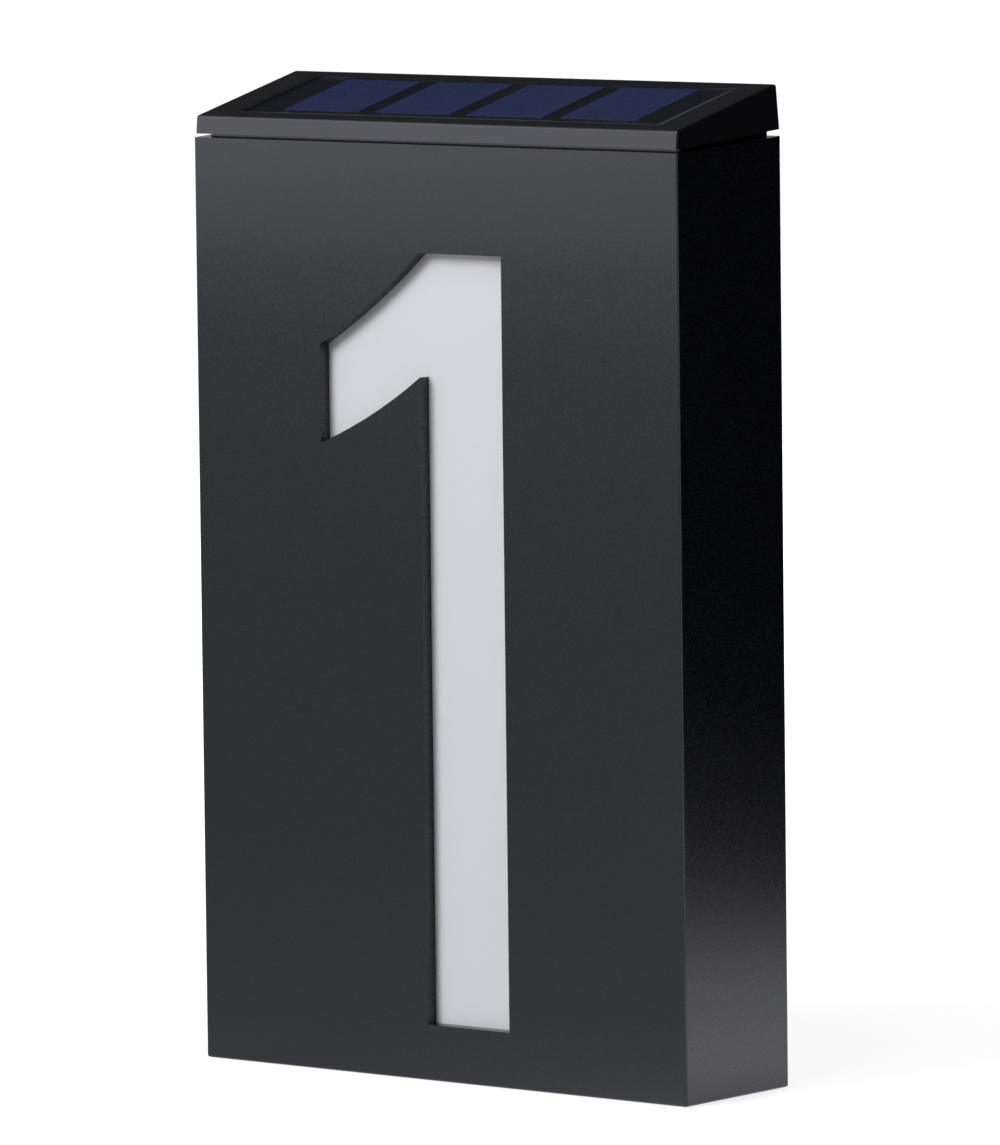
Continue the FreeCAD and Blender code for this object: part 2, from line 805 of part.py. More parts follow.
def make_cover_screws():
    """Four screws through the rear cover into the long posts."""
    seat = back_face - size["counterbore_depth"]
    parts = []
    for side in (-1, 1):
        for level in post_levels:
            parts += level_screw(f"cover_screw_{len(parts)}", post_x * side, level, seat,
                                 size["screw_head_radius"], size["screw_head_height"],
                                 size["screw_length"])
    return join("cover_screws", parts)


def make_reflector_screws():
    """Two screws through the reflector's ears into the short posts."""
    parts = []
    for side in (-1, 1):
        parts += level_screw(f"reflector_screw_{len(parts)}", post_x * side,
                             size["reflector_post_level"], ear_back,
                             size["small_head_radius"], size["small_head_height"],
                             size["small_screw_length"])
    return join("reflector_screws", parts)


def level_screw(name, x, z, seat, head_radius, head_height, length):
    """A pan head behind its seat and a shank in front of it, along Y."""
    head = level_cylinder(f"{name}_head", x, z, seat, seat + head_height, head_radius)
    shank = eight_sided_shank(f"{name}_shank", x, seat - length, z, length)
    shank.Placement.Rotation = FreeCAD.Rotation(FreeCAD.Vector(1, 0, 0), -90)
    return [head, shank]


# -------------------------------------------------------------------------- solar head

def make_cap_frame():
    """The wedge-shaped cap with its panel recess, and the neck that drops into the box."""
    body = new_body("cap_frame")

    wedge = new_sketch(body, "wedge", "YZ")
    draw_outline(wedge, [cap_low_front, cap_low_back, cap_high_back, cap_high_front])
    solid = pad(body, wedge, cap_half_width * 2, both_ways=True)

    def on_rim(first, last):
        along_front = first.y < 0 and last.y < 0 and min(first.z, last.z) > cap_high_front[1].value - 0.1
        along_back = first.y > 0 and last.y > 0 and min(first.z, last.z) > cap_low_back[1].value + 1
        upright_front = first.y < 0 and last.y < 0 and abs(first.x - last.x) < 0.01
        side_slope = first.y * last.y < 0 and max(first.z, last.z) > cap_low_back[1].value + 1
        return along_front or along_back or upright_front or side_slope

    round_edges(body, solid, "round", size["rim_round"], on_rim)

    neck = new_sketch(body, "neck", "YZ")
    draw_outline(neck, [(neck_front, neck_bottom), (neck_back, neck_bottom),
                        (neck_back, cap_low_back[1] + size["neck_lap"]),
                        (neck_front, cap_low_front[1] + size["neck_lap"])])
    neck_solid = pad(body, neck, neck_half_width * 2, both_ways=True)

    def on_neck_corner(first, last):
        upright = abs(first.x - last.x) < 0.01 and abs(first.y - last.y) < 0.01
        return upright and min(first.z, last.z) < neck_bottom.value + 0.01

    round_edges(body, neck_solid, "neck_round", size["neck_round"], on_neck_corner)

    well = new_sketch(body, "well", "YZ")
    draw_outline(well, [(well_front, neck_bottom - PAST), (well_back, neck_bottom - PAST),
                        (well_back, deck_underside(well_back)),
                        (well_front, deck_underside(well_front))])
    pocket(body, well, well_half_width * 2, both_ways=True)

    recess = new_sketch(body, "panel_recess", "YZ")
    start = size["rim_front"]
    finish = size["rim_front"] + panel_length
    draw_outline(recess, [on_slope(start, -panel_depth), on_slope(finish, -panel_depth),
                          on_slope(finish, PAST), on_slope(start, PAST)])
    sunk = pocket(body, recess, panel_half_width * 2, both_ways=True)

    def on_recess_edge(first, last):
        return all(abs(point.z - slope_height(point.y).value) < 0.01
                   and abs(point.x) < panel_half_width.value + 0.01 for point in (first, last))

    bevel_edges(body, sunk, "bevel", size["rim_bevel_width"], size["rim_bevel_depth"],
                on_recess_edge)

    for name, y in (("front_bosses", boss_front), ("back_bosses", boss_back)):
        bosses = new_sketch(body, name, "XY", tray_top)
        for side in (-1, 1):
            draw_square(bosses, boss_x * side, y, size["boss_width"])
        pad(body, bosses, deck_underside(y) + size["deck_thickness"] / 2 - tray_top)

    pilots = new_sketch(body, "pilots", "XY", tray_top)
    for side in (-1, 1):
        for y in (boss_front, boss_back):
            draw_circle(pilots, boss_x * side, y, size["pilot_radius"])
    pocket(body, pilots, size["small_screw_length"], reverse=True)

    groove = new_sketch(body, "seal_groove", "XY", seal_low())
    draw_rectangle(groove, -half_width, front_face, half_width, back_face)
    draw_seal_bed(groove)
    pocket(body, groove, size["seal_width"], reverse=True)

    lead_hole = new_sketch(body, "lead_hole", "XY", circuit_top)
    draw_circle(lead_hole, lead_x, size["lead_depth"], size["lead_hole_radius"])
    clear_deck = slope_height(size["lead_depth"]) - circuit_top
    return finish_with(body, pocket(body, lead_hole, clear_deck, reverse=True))


def finish_with(body, feature):
    body.Tip = feature
    return body


def seal_low():
    return body_top_front - size["seal_level"]


def draw_seal_bed(sketch):
    """The neck's outline at the bottom of its seal groove."""
    depth = size["seal_depth"]
    draw_rectangle(sketch, -(neck_half_width - depth), neck_front + depth,
                   neck_half_width - depth, neck_back - depth)


def make_head_seal():
    """The square ring of soft rubber in the neck's groove."""
    body = new_body("head_seal")
    ring = new_sketch(body, "ring", "XY", seal_low() + size["seal_slack"])
    stand = size["seal_stand"]
    draw_rectangle(ring, -(neck_half_width + stand), neck_front - stand,
                   neck_half_width + stand, neck_back + stand)
    draw_seal_bed(ring)
    pad(body, ring, size["seal_width"] - size["seal_slack"] * 2)
    return body


def place_on_slope(body, depth):
    """Lays a body drawn on XY in the panel recess, with its underside at this depth."""
    y, z = on_slope(size["rim_front"], -depth)
    place(body, 0.0, y, z)
    body.Placement.Rotation = FreeCAD.Rotation(FreeCAD.Vector(1, 0, 0), size["cap_slope"].value)
    bind(body, "Placement.Rotation.Angle", size["cap_slope"])


def make_panel_sheet(label, thickness, depth):
    """One of the two full-size layers of the panel."""
    body = new_body(label)
    sheet = new_sketch(body, "sheet", "XY")
    gap = size["panel_clearance"]
    draw_rectangle(sheet, -(panel_half_width - gap), gap, panel_half_width - gap, panel_length - gap)
    pad(body, sheet, thickness)
    place_on_slope(body, depth)
    return body


def make_solar_cells():
    """A row of equal cells between the two layers."""
    body = new_body("solar_cells")
    count = SIZES["cell_count"]
    pitch = size["cell_width"] + size["cell_gap"]
    cell = new_sketch(body, "cell", "XY")
    left = size["cell_shift"] - (pitch * (count - 1) + size["cell_width"]) / 2
    front = (panel_length - size["cell_height"]) / 2 + size["cell_back_shift"]
    draw_rectangle(cell, left, front, left + size["cell_width"], front + size["cell_height"])
    first = pad(body, cell, size["cell_thickness"])
    row = body.newObject("PartDesign::LinearPattern", "solar_cells_row")
    row.Originals = [first]
    row.Direction = (cell, ["H_Axis"])
    row.Occurrences = count
    row.Length = (pitch * (count - 1)).value
    bind(row, "Length", pitch * (count - 1))
    place_on_slope(body, panel_depth - size["board_thickness"])
    return finish_with(body, row)


def make_panel_leads():
    """The panel's flat twin lead, from the board down through the deck to the circuit."""
    body = new_body("panel_leads")
    front = size["lead_depth"] - size["lead_thickness"] / 2
    back = size["lead_depth"] + size["lead_thickness"] / 2
    drop = panel_depth / cos(size["cap_slope"])
    section = new_sketch(body, "section", "YZ", lead_x - size["lead_width"] / 2)
    draw_outline(section, [(front, circuit_top), (back, circuit_top),
                           (back, slope_height(back) - drop), (front, slope_height(front) - drop)])
    pad(body, section, size["lead_width"])
    return body


# ------------------------------------------------------- tray, battery and electronics

def make_battery_tray():
    """The plate that closes the neck: battery bay above it, door rails below it."""
    body = new_body("battery_tray")
    gap = size["tray_clearance"]

    plate = new_sketch(body, "plate", "XY", neck_bottom)
    draw_rectangle(plate, -(well_half_width - gap), well_front + gap,
                   well_half_width - gap, well_back - gap)
    solid = pad(body, plate, size["tray_thickness"])

    def on_corner(first, last):
        return abs(first.x - last.x) < 0.01 and abs(first.y - last.y) < 0.01

    round_edges(body, solid, "round", size["neck_round"], on_corner)

    bay = new_sketch(body, "bay", "XY", neck_bottom)
    draw_bay(bay, size["bay_wall"])
    pad(body, bay, bay_high - neck_bottom + size["bay_wall"])

    rails = new_sketch(body, "rails", "YZ", track_left - size["rail_wall"])
    for side in (-1, 1):
        centre = bay_y
        draw_outline(rails,
                     [(centre + rail_inside * side, neck_bottom + SINK),
                      (centre + rail_inside * side, rail_low + size["rail_lip_thickness"]),
                      (centre + (rail_inside - size["rail_lip"]) * side,
                       rail_low + size["rail_lip_thickness"]),
                      (centre + (rail_inside - size["rail_lip"]) * side, rail_low),
                      (centre + (rail_inside + size["rail_wall"]) * side, rail_low),
                      (centre + (rail_inside + size["rail_wall"]) * side, neck_bottom + SINK)])
    pad(body, rails, track_right - track_left + size["rail_wall"] * 2)

    stops = new_sketch(body, "stops", "XY", neck_bottom + SINK)
    for left, right in ((track_left - size["rail_wall"], track_left),
                        (track_right, track_right + size["rail_wall"])):
        draw_rectangle(stops, left, bay_y - rail_inside - SINK,
                       right, bay_y + rail_inside + SINK)
    pad(body, stops, neck_bottom + SINK - door_bottom, reverse=True)

    standoffs = new_sketch(body, "standoffs", "XY", neck_bottom)
    for x in (circuit_left + size["standoff_inset"], circuit_right - size["standoff_inset"]):
        for y in (circuit_front + size["standoff_inset"], circuit_back - size["standoff_inset"]):
            draw_square(standoffs, x, y, size["standoff_width"])
    pad(body, standoffs, circuit_low - neck_bottom)

    bay_room = new_sketch(body, "bay_room", "XY", neck_bottom - PAST)
    draw_bay(bay_room, 0.0)
    pocket(body, bay_room, bay_high - neck_bottom + PAST, reverse=True)

    openings = new_sketch(body, "openings", "XY", neck_bottom - PAST)
    for x in led_places:
        draw_circle(openings, x, led_y, size["led_radius"] + size["led_hole_clearance"])
    for side in (-1, 1):
        for y in (boss_front, boss_back):
            draw_circle(openings, boss_x * side, y, size["pilot_radius"])
    draw_switch_slot(openings)
    return finish_with(body, pocket(body, openings, size["tray_thickness"] + PAST * 2, reverse=True))


def draw_bay(sketch, wall):
    draw_rectangle(sketch,
                   bay_x - bay_half_length - wall, bay_y - bay_half_width - wall,
                   bay_x + bay_half_length + wall, bay_y + bay_half_width + wall)


def draw_switch_slot(sketch):
    """The slot that the switch knob slides in."""
    half_length = (size["knob_length"] + size["switch_travel"]) / 2 + size["knob_clearance"]
    half_depth = size["knob_width"] / 2 + size["knob_clearance"]
    draw_rectangle(sketch, switch_x - half_length, led_y - half_depth,
                   switch_x + half_length, led_y + half_depth)


def make_tray_screws():
    """Four screws up through the tray into the neck's bosses."""
    parts = []
    for side in (-1, 1):
        for y in (boss_front, boss_back):
            name = f"tray_screw_{len(parts)}"
            parts.append(upright_cylinder(f"{name}_head", boss_x * side, y,
                                          neck_bottom - size["small_head_height"], neck_bottom,
                                          size["small_head_radius"]))
            parts.append(eight_sided_shank(f"{name}_shank", boss_x * side, y, neck_bottom,
                                           size["small_screw_length"]))
    return join("tray_screws", parts)


def make_battery_cell():
    """One rechargeable cell lying along X, its raised pole to the right."""
    body = new_body("battery_cell")
    half = size["battery_length"] / 2
    radius = size["battery_diameter"] / 2
    section = new_sketch(body, "section", "XZ")
    draw_outline(section, [(-half, 0.0), (half, 0.0), (half, size["nub_radius"]),
                           (half - size["nub_length"], size["nub_radius"]),
                           (half - size["nub_length"], radius), (-half, radius)])
    turned = body.newObject("PartDesign::Revolution", "battery_cell_turned")
    turned.Profile = section
    turned.ReferenceAxis = (section, ["H_Axis"])
    turned.Angle = 360
    section.Visibility = False
    place(body, bay_x, bay_y, battery_axis)
    return body


def make_battery_contacts():
    """A strip of spring metal at each end of the bay, bent forward to touch its pole."""
    body = new_body("battery_contacts")
    leaf = size["contact_width"] / 2
    crest = size["contact_crest"] / 2
    sheet = size["contact_sheet"]
    strips = new_sketch(body, "strips", "XZ", -(bay_y - leaf))
    for side in (-1, 1):
        wall = bay_x + bay_half_length * side
        touch = wall - size["contact_space"] * side
        draw_outline(strips, [(wall, battery_axis - leaf), (wall, battery_axis + leaf),
                              (wall - sheet * side, battery_axis + leaf),
                              (touch, battery_axis + crest), (touch, battery_axis - crest),
                              (wall - sheet * side, battery_axis - leaf)])
    pad(body, strips, size["contact_width"], reverse=True)
    return body


def make_battery_door():
    """The door under the bay, slid along its rails by the raised grip."""
    door = box("door_plate", bay_x - door_half_length, bay_x + door_half_length,
               bay_y - door_half_width, bay_y + door_half_width,
               door_bottom, door_top)
    grip_right = bay_x - door_half_length + size["grip_length"] + size["rail_lip"]
    grip_half = door_half_width - size["rail_lip"] - size["door_clearance"] * 2
    grip = box("door_grip", grip_right - size["grip_length"], grip_right,
               bay_y - grip_half, bay_y + grip_half,
               door_bottom - size["grip_height"], door_bottom)
    return join("battery_door", [door, grip])


def make_led_board():
    half_board = size["led_board_width"] / 2
    return label_as(box("led_board", -led_board_half, led_board_half, led_y - half_board,
                        led_y + half_board, tray_top, led_board_top), "led_board")


def make_leds():
    """Round-nosed lamps that hang from their board through the tray."""
    parts = []
    for index, x in enumerate(led_places):
        tip = tray_top - size["led_length"]
        parts.append(upright_cylinder(f"led_{index}_barrel", x, led_y, tip + size["led_nose"],
                                      tray_top, size["led_radius"]))
        nose = document.addObject("Part::Cone", f"led_{index}_nose")
        bind(nose, "Radius1", size["led_nose_radius"])
        bind(nose, "Radius2", size["led_radius"])
        bind(nose, "Height", size["led_nose"])
        place(nose, x, led_y, tip)
        parts.append(nose)
    return join("leds", parts)


def make_circuit_board():
    return label_as(box("circuit_board", circuit_left, circuit_right, circuit_front,
                        circuit_back, circuit_low, circuit_top), "circuit_board")


def make_control_chip():
    half = size["chip_width"] / 2
    left = circuit_left + size["chip_offset"]
    return label_as(box("control_chip", left, left + size["chip_length"], bay_y - half, bay_y + half,
                        circuit_top, circuit_top + size["chip_height"]), "control_chip")


def make_round_component(label, offset, radius, height):
    """An upright round component on the circuit board."""
    return label_as(upright_cylinder(label, circuit_left + offset, bay_y, circuit_top,
                                     circuit_top + height, radius), label)


def make_led_leads():
    """The flat twin lead that arches from the lamp board to the circuit board."""
    body = new_body("led_leads")
    front = led_y + size["led_board_width"] / 2 - size["led_lead_foot"]
    back = circuit_front + size["led_lead_foot"]
    crown = circuit_top + size["led_lead_rise"]
    shoulder = crown - (back - front) / 2
    thickness = size["lead_thickness"]
    arch = new_sketch(body, "arch", "YZ", led_board_half - size["led_lead_inset"] - size["lead_width"])
    outer = (back - front) / 2
    middle = (front + back) / 2
    draw_outline(arch,
                 [(front, led_board_top), (front + thickness, led_board_top),
                  (front + thickness, shoulder), (middle, crown - thickness),
                  (back - thickness, shoulder), (back - thickness, circuit_top),
                  (back, circuit_top), (back, shoulder), (middle, crown), (front, shoulder)],
                 arcs={2: (outer - thickness, "right"), 3: (outer - thickness, "right"),
                       7: (outer, "left"), 8: (outer, "left")})
    pad(body, arch, size["lead_width"])
    return body


def make_switch_body():
    """The case of the slide switch, with the channel that its slider runs in."""
    body = new_body("switch_body")
    case = new_sketch(body, "case", "XY", tray_top)
    draw_rectangle(case, switch_x - size["switch_length"] / 2,
                   led_y - size["switch_width"] / 2,
                   switch_x + size["switch_length"] / 2,
                   led_y + size["switch_width"] / 2)
    pad(body, case, size["switch_height"])
    channel = new_sketch(body, "channel", "XY", tray_top - PAST)
    draw_switch_slot(channel)
    return finish_with(body, pocket(body, channel, size["switch_slot_depth"] + PAST, reverse=True))


def make_switch_slider():
    """The knob below the tray and its foot in the switch's channel, in the OFF place."""
    left = switch_x - size["switch_travel"] / 2 - size["knob_length"] / 2
    half = size["knob_width"] / 2
    return label_as(box("switch_slider", left, left + size["knob_length"],
                        led_y - half, led_y + half,
                        neck_bottom - size["knob_stand"], tray_top + size["knob_foot"]),
                    "switch_slider")


def make_all():
    return [
        make_housing_shell(),
        make_digit_diffuser(),
        make_reflector(),
        make_reflector_screws(),
        make_rear_cover(),
        make_cover_screws(),
        make_cap_frame(),
        make_head_seal(),
        make_panel_sheet("panel_board", size["board_thickness"], panel_depth),
        make_solar_cells(),
        make_panel_sheet("panel_glaze", size["glaze_thickness"],
                         size["panel_recess"] + size["glaze_thickness"]),
        make_panel_leads(),
        make_battery_tray(),
        make_tray_screws(),
        make_battery_cell(),
        make_battery_contacts(),
        make_battery_door(),
        make_led_board(),
        make_leds(),
        make_led_leads(),
        make_circuit_board(),
        make_control_chip(),
        make_round_component("coil", size["coil_offset"], size["coil_radius"],
                             size["coil_height"]),
        make_round_component("capacitor", size["capacitor_offset"], size["capacitor_radius"],
                             size["capacitor_height"]),
        make_switch_body(),
        make_switch_slider(),
    ]


def check_document(pieces):
    """Stops before anything is written if a feature failed or a piece is not sound."""
    for item in document.Objects:
        if "Invalid" in item.State or "Error" in item.State:
            raise RuntimeError(f"{item.Name} failed: {item.State}")
    for piece in pieces:
        if piece.Shape.isNull() or not piece.Shape.isValid() or not piece.Shape.Solids:
            raise RuntimeError(f"{piece.Label} has no sound solid")


pieces = make_all()
document.recompute()
check_document(pieces)
os.makedirs("parts", exist_ok=True)
for piece in pieces:
    piece.Shape.exportStep(f"parts/{piece.Label}.step")
    print(f"{piece.Label}: {len(piece.Shape.Solids)} solids, {piece.Shape.Volume:.1f} mm3")
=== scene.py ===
# %% [markdown]
# # An illuminated house number sign
#
# The sign is an upright black box with the figure 1 cut through its front.
# A white sheet closes the figure from behind, and a sloping cap on top holds
# a solar panel, an accumulator, four lamps and their circuit. Every part of it
# was drawn as a solid first. Blender's work is the finish: how the mouldings,
# the silicon and the metal look, and the small pieces that solids leave out.

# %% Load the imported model
import math

import bmesh
import bpy
from mathutils import Matrix, Vector


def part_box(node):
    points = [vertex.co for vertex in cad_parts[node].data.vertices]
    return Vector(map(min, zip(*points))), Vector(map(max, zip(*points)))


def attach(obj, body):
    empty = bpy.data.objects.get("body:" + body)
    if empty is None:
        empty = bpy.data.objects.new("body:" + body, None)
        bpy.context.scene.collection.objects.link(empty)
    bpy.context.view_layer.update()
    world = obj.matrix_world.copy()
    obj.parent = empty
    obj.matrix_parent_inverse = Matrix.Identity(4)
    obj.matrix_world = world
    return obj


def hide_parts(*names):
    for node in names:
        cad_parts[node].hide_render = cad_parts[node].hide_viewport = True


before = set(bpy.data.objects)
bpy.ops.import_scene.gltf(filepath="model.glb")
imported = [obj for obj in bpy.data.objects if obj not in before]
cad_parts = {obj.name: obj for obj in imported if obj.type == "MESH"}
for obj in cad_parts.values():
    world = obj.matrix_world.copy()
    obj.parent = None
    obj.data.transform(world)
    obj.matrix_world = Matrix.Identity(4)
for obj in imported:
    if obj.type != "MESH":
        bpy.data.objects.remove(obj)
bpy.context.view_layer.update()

# %% [markdown]
# ## The camera
#
# The photograph was taken from the right of the front, a little above the
# sign, from over two metres away with a long lens, so that its upright edges
# stay almost parallel. The direction, the roll and the lens come from fitting
# the box's corners to the picture.

# %% Place the camera
AZIMUTH, ELEVATION, ROLL = map(math.radians, (38.58, 5.61, -0.65))
CAMERA_DISTANCE = 2.217
FOCAL_LENGTH = 324.85  # millimetres, on a sensor 36 mm wide
TARGET = Vector((0.0031, 0.0, 0.1084))


def new_object(name, data):
    """A new object in the scene."""
    made = bpy.data.objects.new(name, data)
    bpy.context.scene.collection.objects.link(made)
    return made


towards = Vector((math.cos(ELEVATION) * math.sin(AZIMUTH),
                  -math.cos(ELEVATION) * math.cos(AZIMUTH),
                  math.sin(ELEVATION)))
level_right = Vector((math.cos(AZIMUTH), math.sin(AZIMUTH), 0.0))
level_up = towards.cross(level_right)
right = math.cos(ROLL) * level_right + math.sin(ROLL) * level_up
up = math.cos(ROLL) * level_up - math.sin(ROLL) * level_right

lens = bpy.data.cameras.new("camera")
lens.lens = FOCAL_LENGTH
lens.sensor_width = 36.0
camera = new_object("camera", lens)
camera.matrix_world = Matrix.Translation(TARGET + towards * CAMERA_DISTANCE) @ Matrix(
    (right, up, towards)).transposed().to_4x4()
bpy.context.scene.camera = camera
bpy.context.scene.view_settings.view_transform = "Standard"
print("camera at", [round(c, 3) for c in camera.matrix_world.translation])

# %% [markdown]
# ## Small helpers for node trees
#
# A material, a world and a Geometry Nodes modifier are all trees of nodes.
# Short functions make and join the nodes, so that the cells below read as a
# list of what is done.

# %% Helpers for nodes
def give(value, socket):
    """Gives a socket a fixed value, or joins it to another node's output."""
    if isinstance(value, bpy.types.NodeSocket):
        socket.id_data.links.new(value, socket)
    else:
        socket.default_value = value


def set_up(node, **values):
    """Sets a node's own options by attribute and its sockets by name."""
    for name, value in values.items():
        if hasattr(node, name):
            setattr(node, name, value)
        else:
            give(value, node.inputs[name.replace("_", " ")])
    return node


def add_node(tree, kind, **values):
    """A new node with its options and sockets set."""
    return set_up(tree.nodes.new(kind), **values)


def calculate(operation, first, second):
    """A Math node on two outputs, or on an output and a number."""
    tree = (second if isinstance(first, float) else first).id_data
    node = add_node(tree, "ShaderNodeMath", operation=operation)
    give(first, node.inputs[0])
    give(second, node.inputs[1])
    return node.outputs[0]


def remap(value, start, end, low=0.0, high=1.0, kind="LINEAR"):
    """Turns the range start..end of a value into low..high."""
    return add_node(value.id_data, "ShaderNodeMapRange", Value=value, From_Min=start,
                    From_Max=end, To_Min=low, To_Max=high, interpolation_type=kind).outputs[0]


def along(vector, aim):
    """How far a vector points along an aim, which is their dot product."""
    node = add_node(vector.id_data, "ShaderNodeVectorMath", operation="DOT_PRODUCT")
    give(vector, node.inputs[0])
    give(aim, node.inputs[1])
    return node.outputs["Value"]


def mix_colours(share, first, second):
    """Two colours, as RGB numbers or outputs, mixed by a mask."""
    mix = add_node(share.id_data, "ShaderNodeMix", data_type="RGBA")
    give(share, mix.inputs[0])
    for socket, colour in zip([s for s in mix.inputs if s.type == "RGBA"], (first, second)):
        give((*colour, 1.0) if isinstance(colour, tuple) else colour, socket)
    return [s for s in mix.outputs if s.type == "RGBA"][0]


def clear_tree(owner, kind):
    """The emptied tree of a World or Material, and its output's socket."""
    owner.use_nodes = True
    tree = owner.node_tree
    tree.nodes.clear()
    return tree, add_node(tree, "ShaderNodeOutput" + kind).inputs["Surface"]


def kinds_of_ray(tree):
    """The Light Path outputs, and a mask of the rays that see a thing directly."""
    path = add_node(tree, "ShaderNodeLightPath").outputs
    return path, calculate("MAXIMUM", path["Is Camera Ray"], path["Is Transmission Ray"])

# %% [markdown]
# ## The studio
#
# The black mouldings show little colour of their own: what the eye sees on
# them is the room. So the world is white only where it is seen directly. For
# reflections it is nearly black, a little lighter in front, with three patches
# on the left that give the cap's rims and edges something to mirror.

# %% The world
LAMP_WHITE = (0.955, 0.962, 1.0)
ROOM_WHITE = (0.92, 0.925, 1.04)
BACK_GLOW, FRONT_GLOW, SHADE_FILL = 0.01, 0.06, 0.06
ROOM_PATCHES = (
    # where to, the cosines at which it starts and is full, strength
    ((-0.62, 0.65, 0.44), 0.45, 1.0, 0.015),
    ((-0.655, 0.752, 0.07), 0.984, 0.998, 1.0),
    ((-0.70, -0.10, 0.70), 0.90, 0.98, 0.5),
)


def white_if(seen):
    """Pure white where a ray sees it directly, a cool white elsewhere."""
    return mix_colours(seen, ROOM_WHITE, (1.0, 1.0, 1.0))


world = bpy.data.worlds.new("studio")
bpy.context.scene.world = world
tree, surface = clear_tree(world, "World")
direction = add_node(tree, "ShaderNodeTexCoord").outputs["Generated"]
ahead = add_node(tree, "ShaderNodeSeparateXYZ", Vector=direction).outputs["Y"]
shares = remap(ahead, 0.05, -0.7, BACK_GLOW, FRONT_GLOW, "SMOOTHSTEP")
for aim, start, full, strength in ROOM_PATCHES:
    patch = remap(along(direction, aim), start, full, 0.0, strength, "SMOOTHSTEP")
    shares = calculate("ADD", shares, patch)
path, seen = kinds_of_ray(tree)
room = calculate("MULTIPLY", shares, path["Is Glossy Ray"])
fill = calculate("MULTIPLY", SHADE_FILL, path["Is Diffuse Ray"])
level = calculate("MAXIMUM", seen, calculate("ADD", room, fill))
give(add_node(tree, "ShaderNodeBackground", Color=white_if(seen), Strength=level).outputs[0],
     surface)
print("the world has", len(ROOM_PATCHES), "patches for reflections")

# %% [markdown]
# The floor is a pale sheet. Where it is seen directly, most of its brightness
# is its own, so that it stays white; the rest is lit, so that the sign's
# shadow still falls on it. In reflections it is bright near the sign and dark
# further back, as the photograph's right side face shows.

# %% The floor
FLOOR_REACH, FLOOR_DROP = 4.0, 0.0002
ROOM_START, ROOM_END = -2.5, 0.5
FLOOR_SHADES = ((-1.3, 0.06), (-0.6, 0.03), (-0.15, 0.22), (0.0, 0.42), (0.10, 0.95))
MIRRORED_GAIN = 1.5


def flat_card(name, corners, material):
    """A single four-sided sheet for the studio."""
    mesh = bpy.data.meshes.new(name)
    mesh.from_pydata(corners, [], [(0, 1, 2, 3)])
    mesh.materials.append(material)
    card = new_object(name, mesh)
    print(name, "from", *([round(c, 2) for c in corners[i]] for i in (0, 2)))
    return card


floor_paint = bpy.data.materials.new("floor_paint")
tree, surface = clear_tree(floor_paint, "Material")
path, seen = kinds_of_ray(tree)
place = add_node(tree, "ShaderNodeTexCoord").outputs["Object"]
distance = add_node(tree, "ShaderNodeVectorMath", operation="LENGTH")
give(place, distance.inputs[0])
seen_strength = remap(distance.outputs["Value"], 0.15, 0.9, 0.80, 1.0)
way = along(place, (0.80, 0.60, 0.0))
ramp = add_node(tree, "ShaderNodeValToRGB", Fac=remap(way, ROOM_START, ROOM_END))
shades = ramp.color_ramp.elements
shades[0].color = (0.30, 0.30, 0.30, 1.0)
for way, shade in FLOOR_SHADES:
    shades.new((way - ROOM_START) / (ROOM_END - ROOM_START)).color = (shade, shade, shade, 1.0)
mirrored_strength = calculate("MULTIPLY", ramp.outputs[0], MIRRORED_GAIN)
level = calculate("ADD", calculate("MULTIPLY", seen, seen_strength),
                  calculate("MULTIPLY", path["Is Glossy Ray"], mirrored_strength))
lit = add_node(tree, "ShaderNodeBsdfDiffuse", Color=(0.5, 0.5, 0.5, 1.0))
glow = add_node(tree, "ShaderNodeEmission", Color=white_if(seen), Strength=level)
paint = add_node(tree, "ShaderNodeAddShader")
give(lit.outputs[0], paint.inputs[0])
give(glow.outputs[0], paint.inputs[1])
give(paint.outputs[0], surface)
flat_card("floor", [(x * FLOOR_REACH, y * FLOOR_REACH, -FLOOR_DROP)
                    for x, y in ((-1, -1), (1, -1), (1, 1), (-1, 1))], floor_paint)

# %% [markdown]
# The black card stands a quarter of a metre behind the sign, where the right
# side face mirrors it; the foot of that face still mirrors the floor. Only
# reflections see the card, so it blocks no lamp.

# %% The black card
RIGHT_FACE, FRONT_FACE = 0.066, -0.018
BLACK_CARD_DISTANCE = 0.23
mirrored = Vector((towards.x, -towards.y, 0.0)).normalized()
across = Vector((-mirrored.y, mirrored.x, 0.0))


def shader_of(material):
    """The shader that a material starts with."""
    return material.node_tree.nodes["Principled BSDF"]


def upright_card(name, middle, reach, heights, material):
    """A card across the mirrored view that only reflections see."""
    left, right_end = middle - across * reach[0], middle + across * reach[1]
    low, high = (Vector((0, 0, height)) for height in heights)
    card = flat_card(name, [left + low, right_end + low, right_end + high, left + high], material)
    for kind in ("camera", "diffuse", "transmission", "shadow"):
        setattr(card, "visible_" + kind, False)


card_paint = bpy.data.materials.new("card_paint")
card_paint.use_nodes = True
set_up(shader_of(card_paint), Base_Color=(0.0, 0.0, 0.0, 1.0), Specular_IOR_Level=0.0,
       Roughness=1.0)
upright_card("black_card", Vector((RIGHT_FACE, 0.0, 0.0)) + mirrored * BLACK_CARD_DISTANCE,
             (0.9, 0.42), (0.0, 1.2), card_paint)

# %% [markdown]
# The front face is brightest along its top. A near white card, high on the
# front left, does that: the top of the face mirrors it, the middle doesn't.

# %% The white card
WHITE_CARD_DISTANCE = 0.25
white_paint = bpy.data.materials.new("white_card_paint")
tree, surface = clear_tree(white_paint, "Material")
glow = add_node(tree, "ShaderNodeEmission", Color=(*ROOM_WHITE, 1.0), Strength=1.95)
give(glow.outputs[0], surface)
upright_card("white_card", Vector((0.02, FRONT_FACE, 0.0)) - mirrored * WHITE_CARD_DISTANCE,
             (0.30, 0.22), (0.174, 0.40), white_paint)

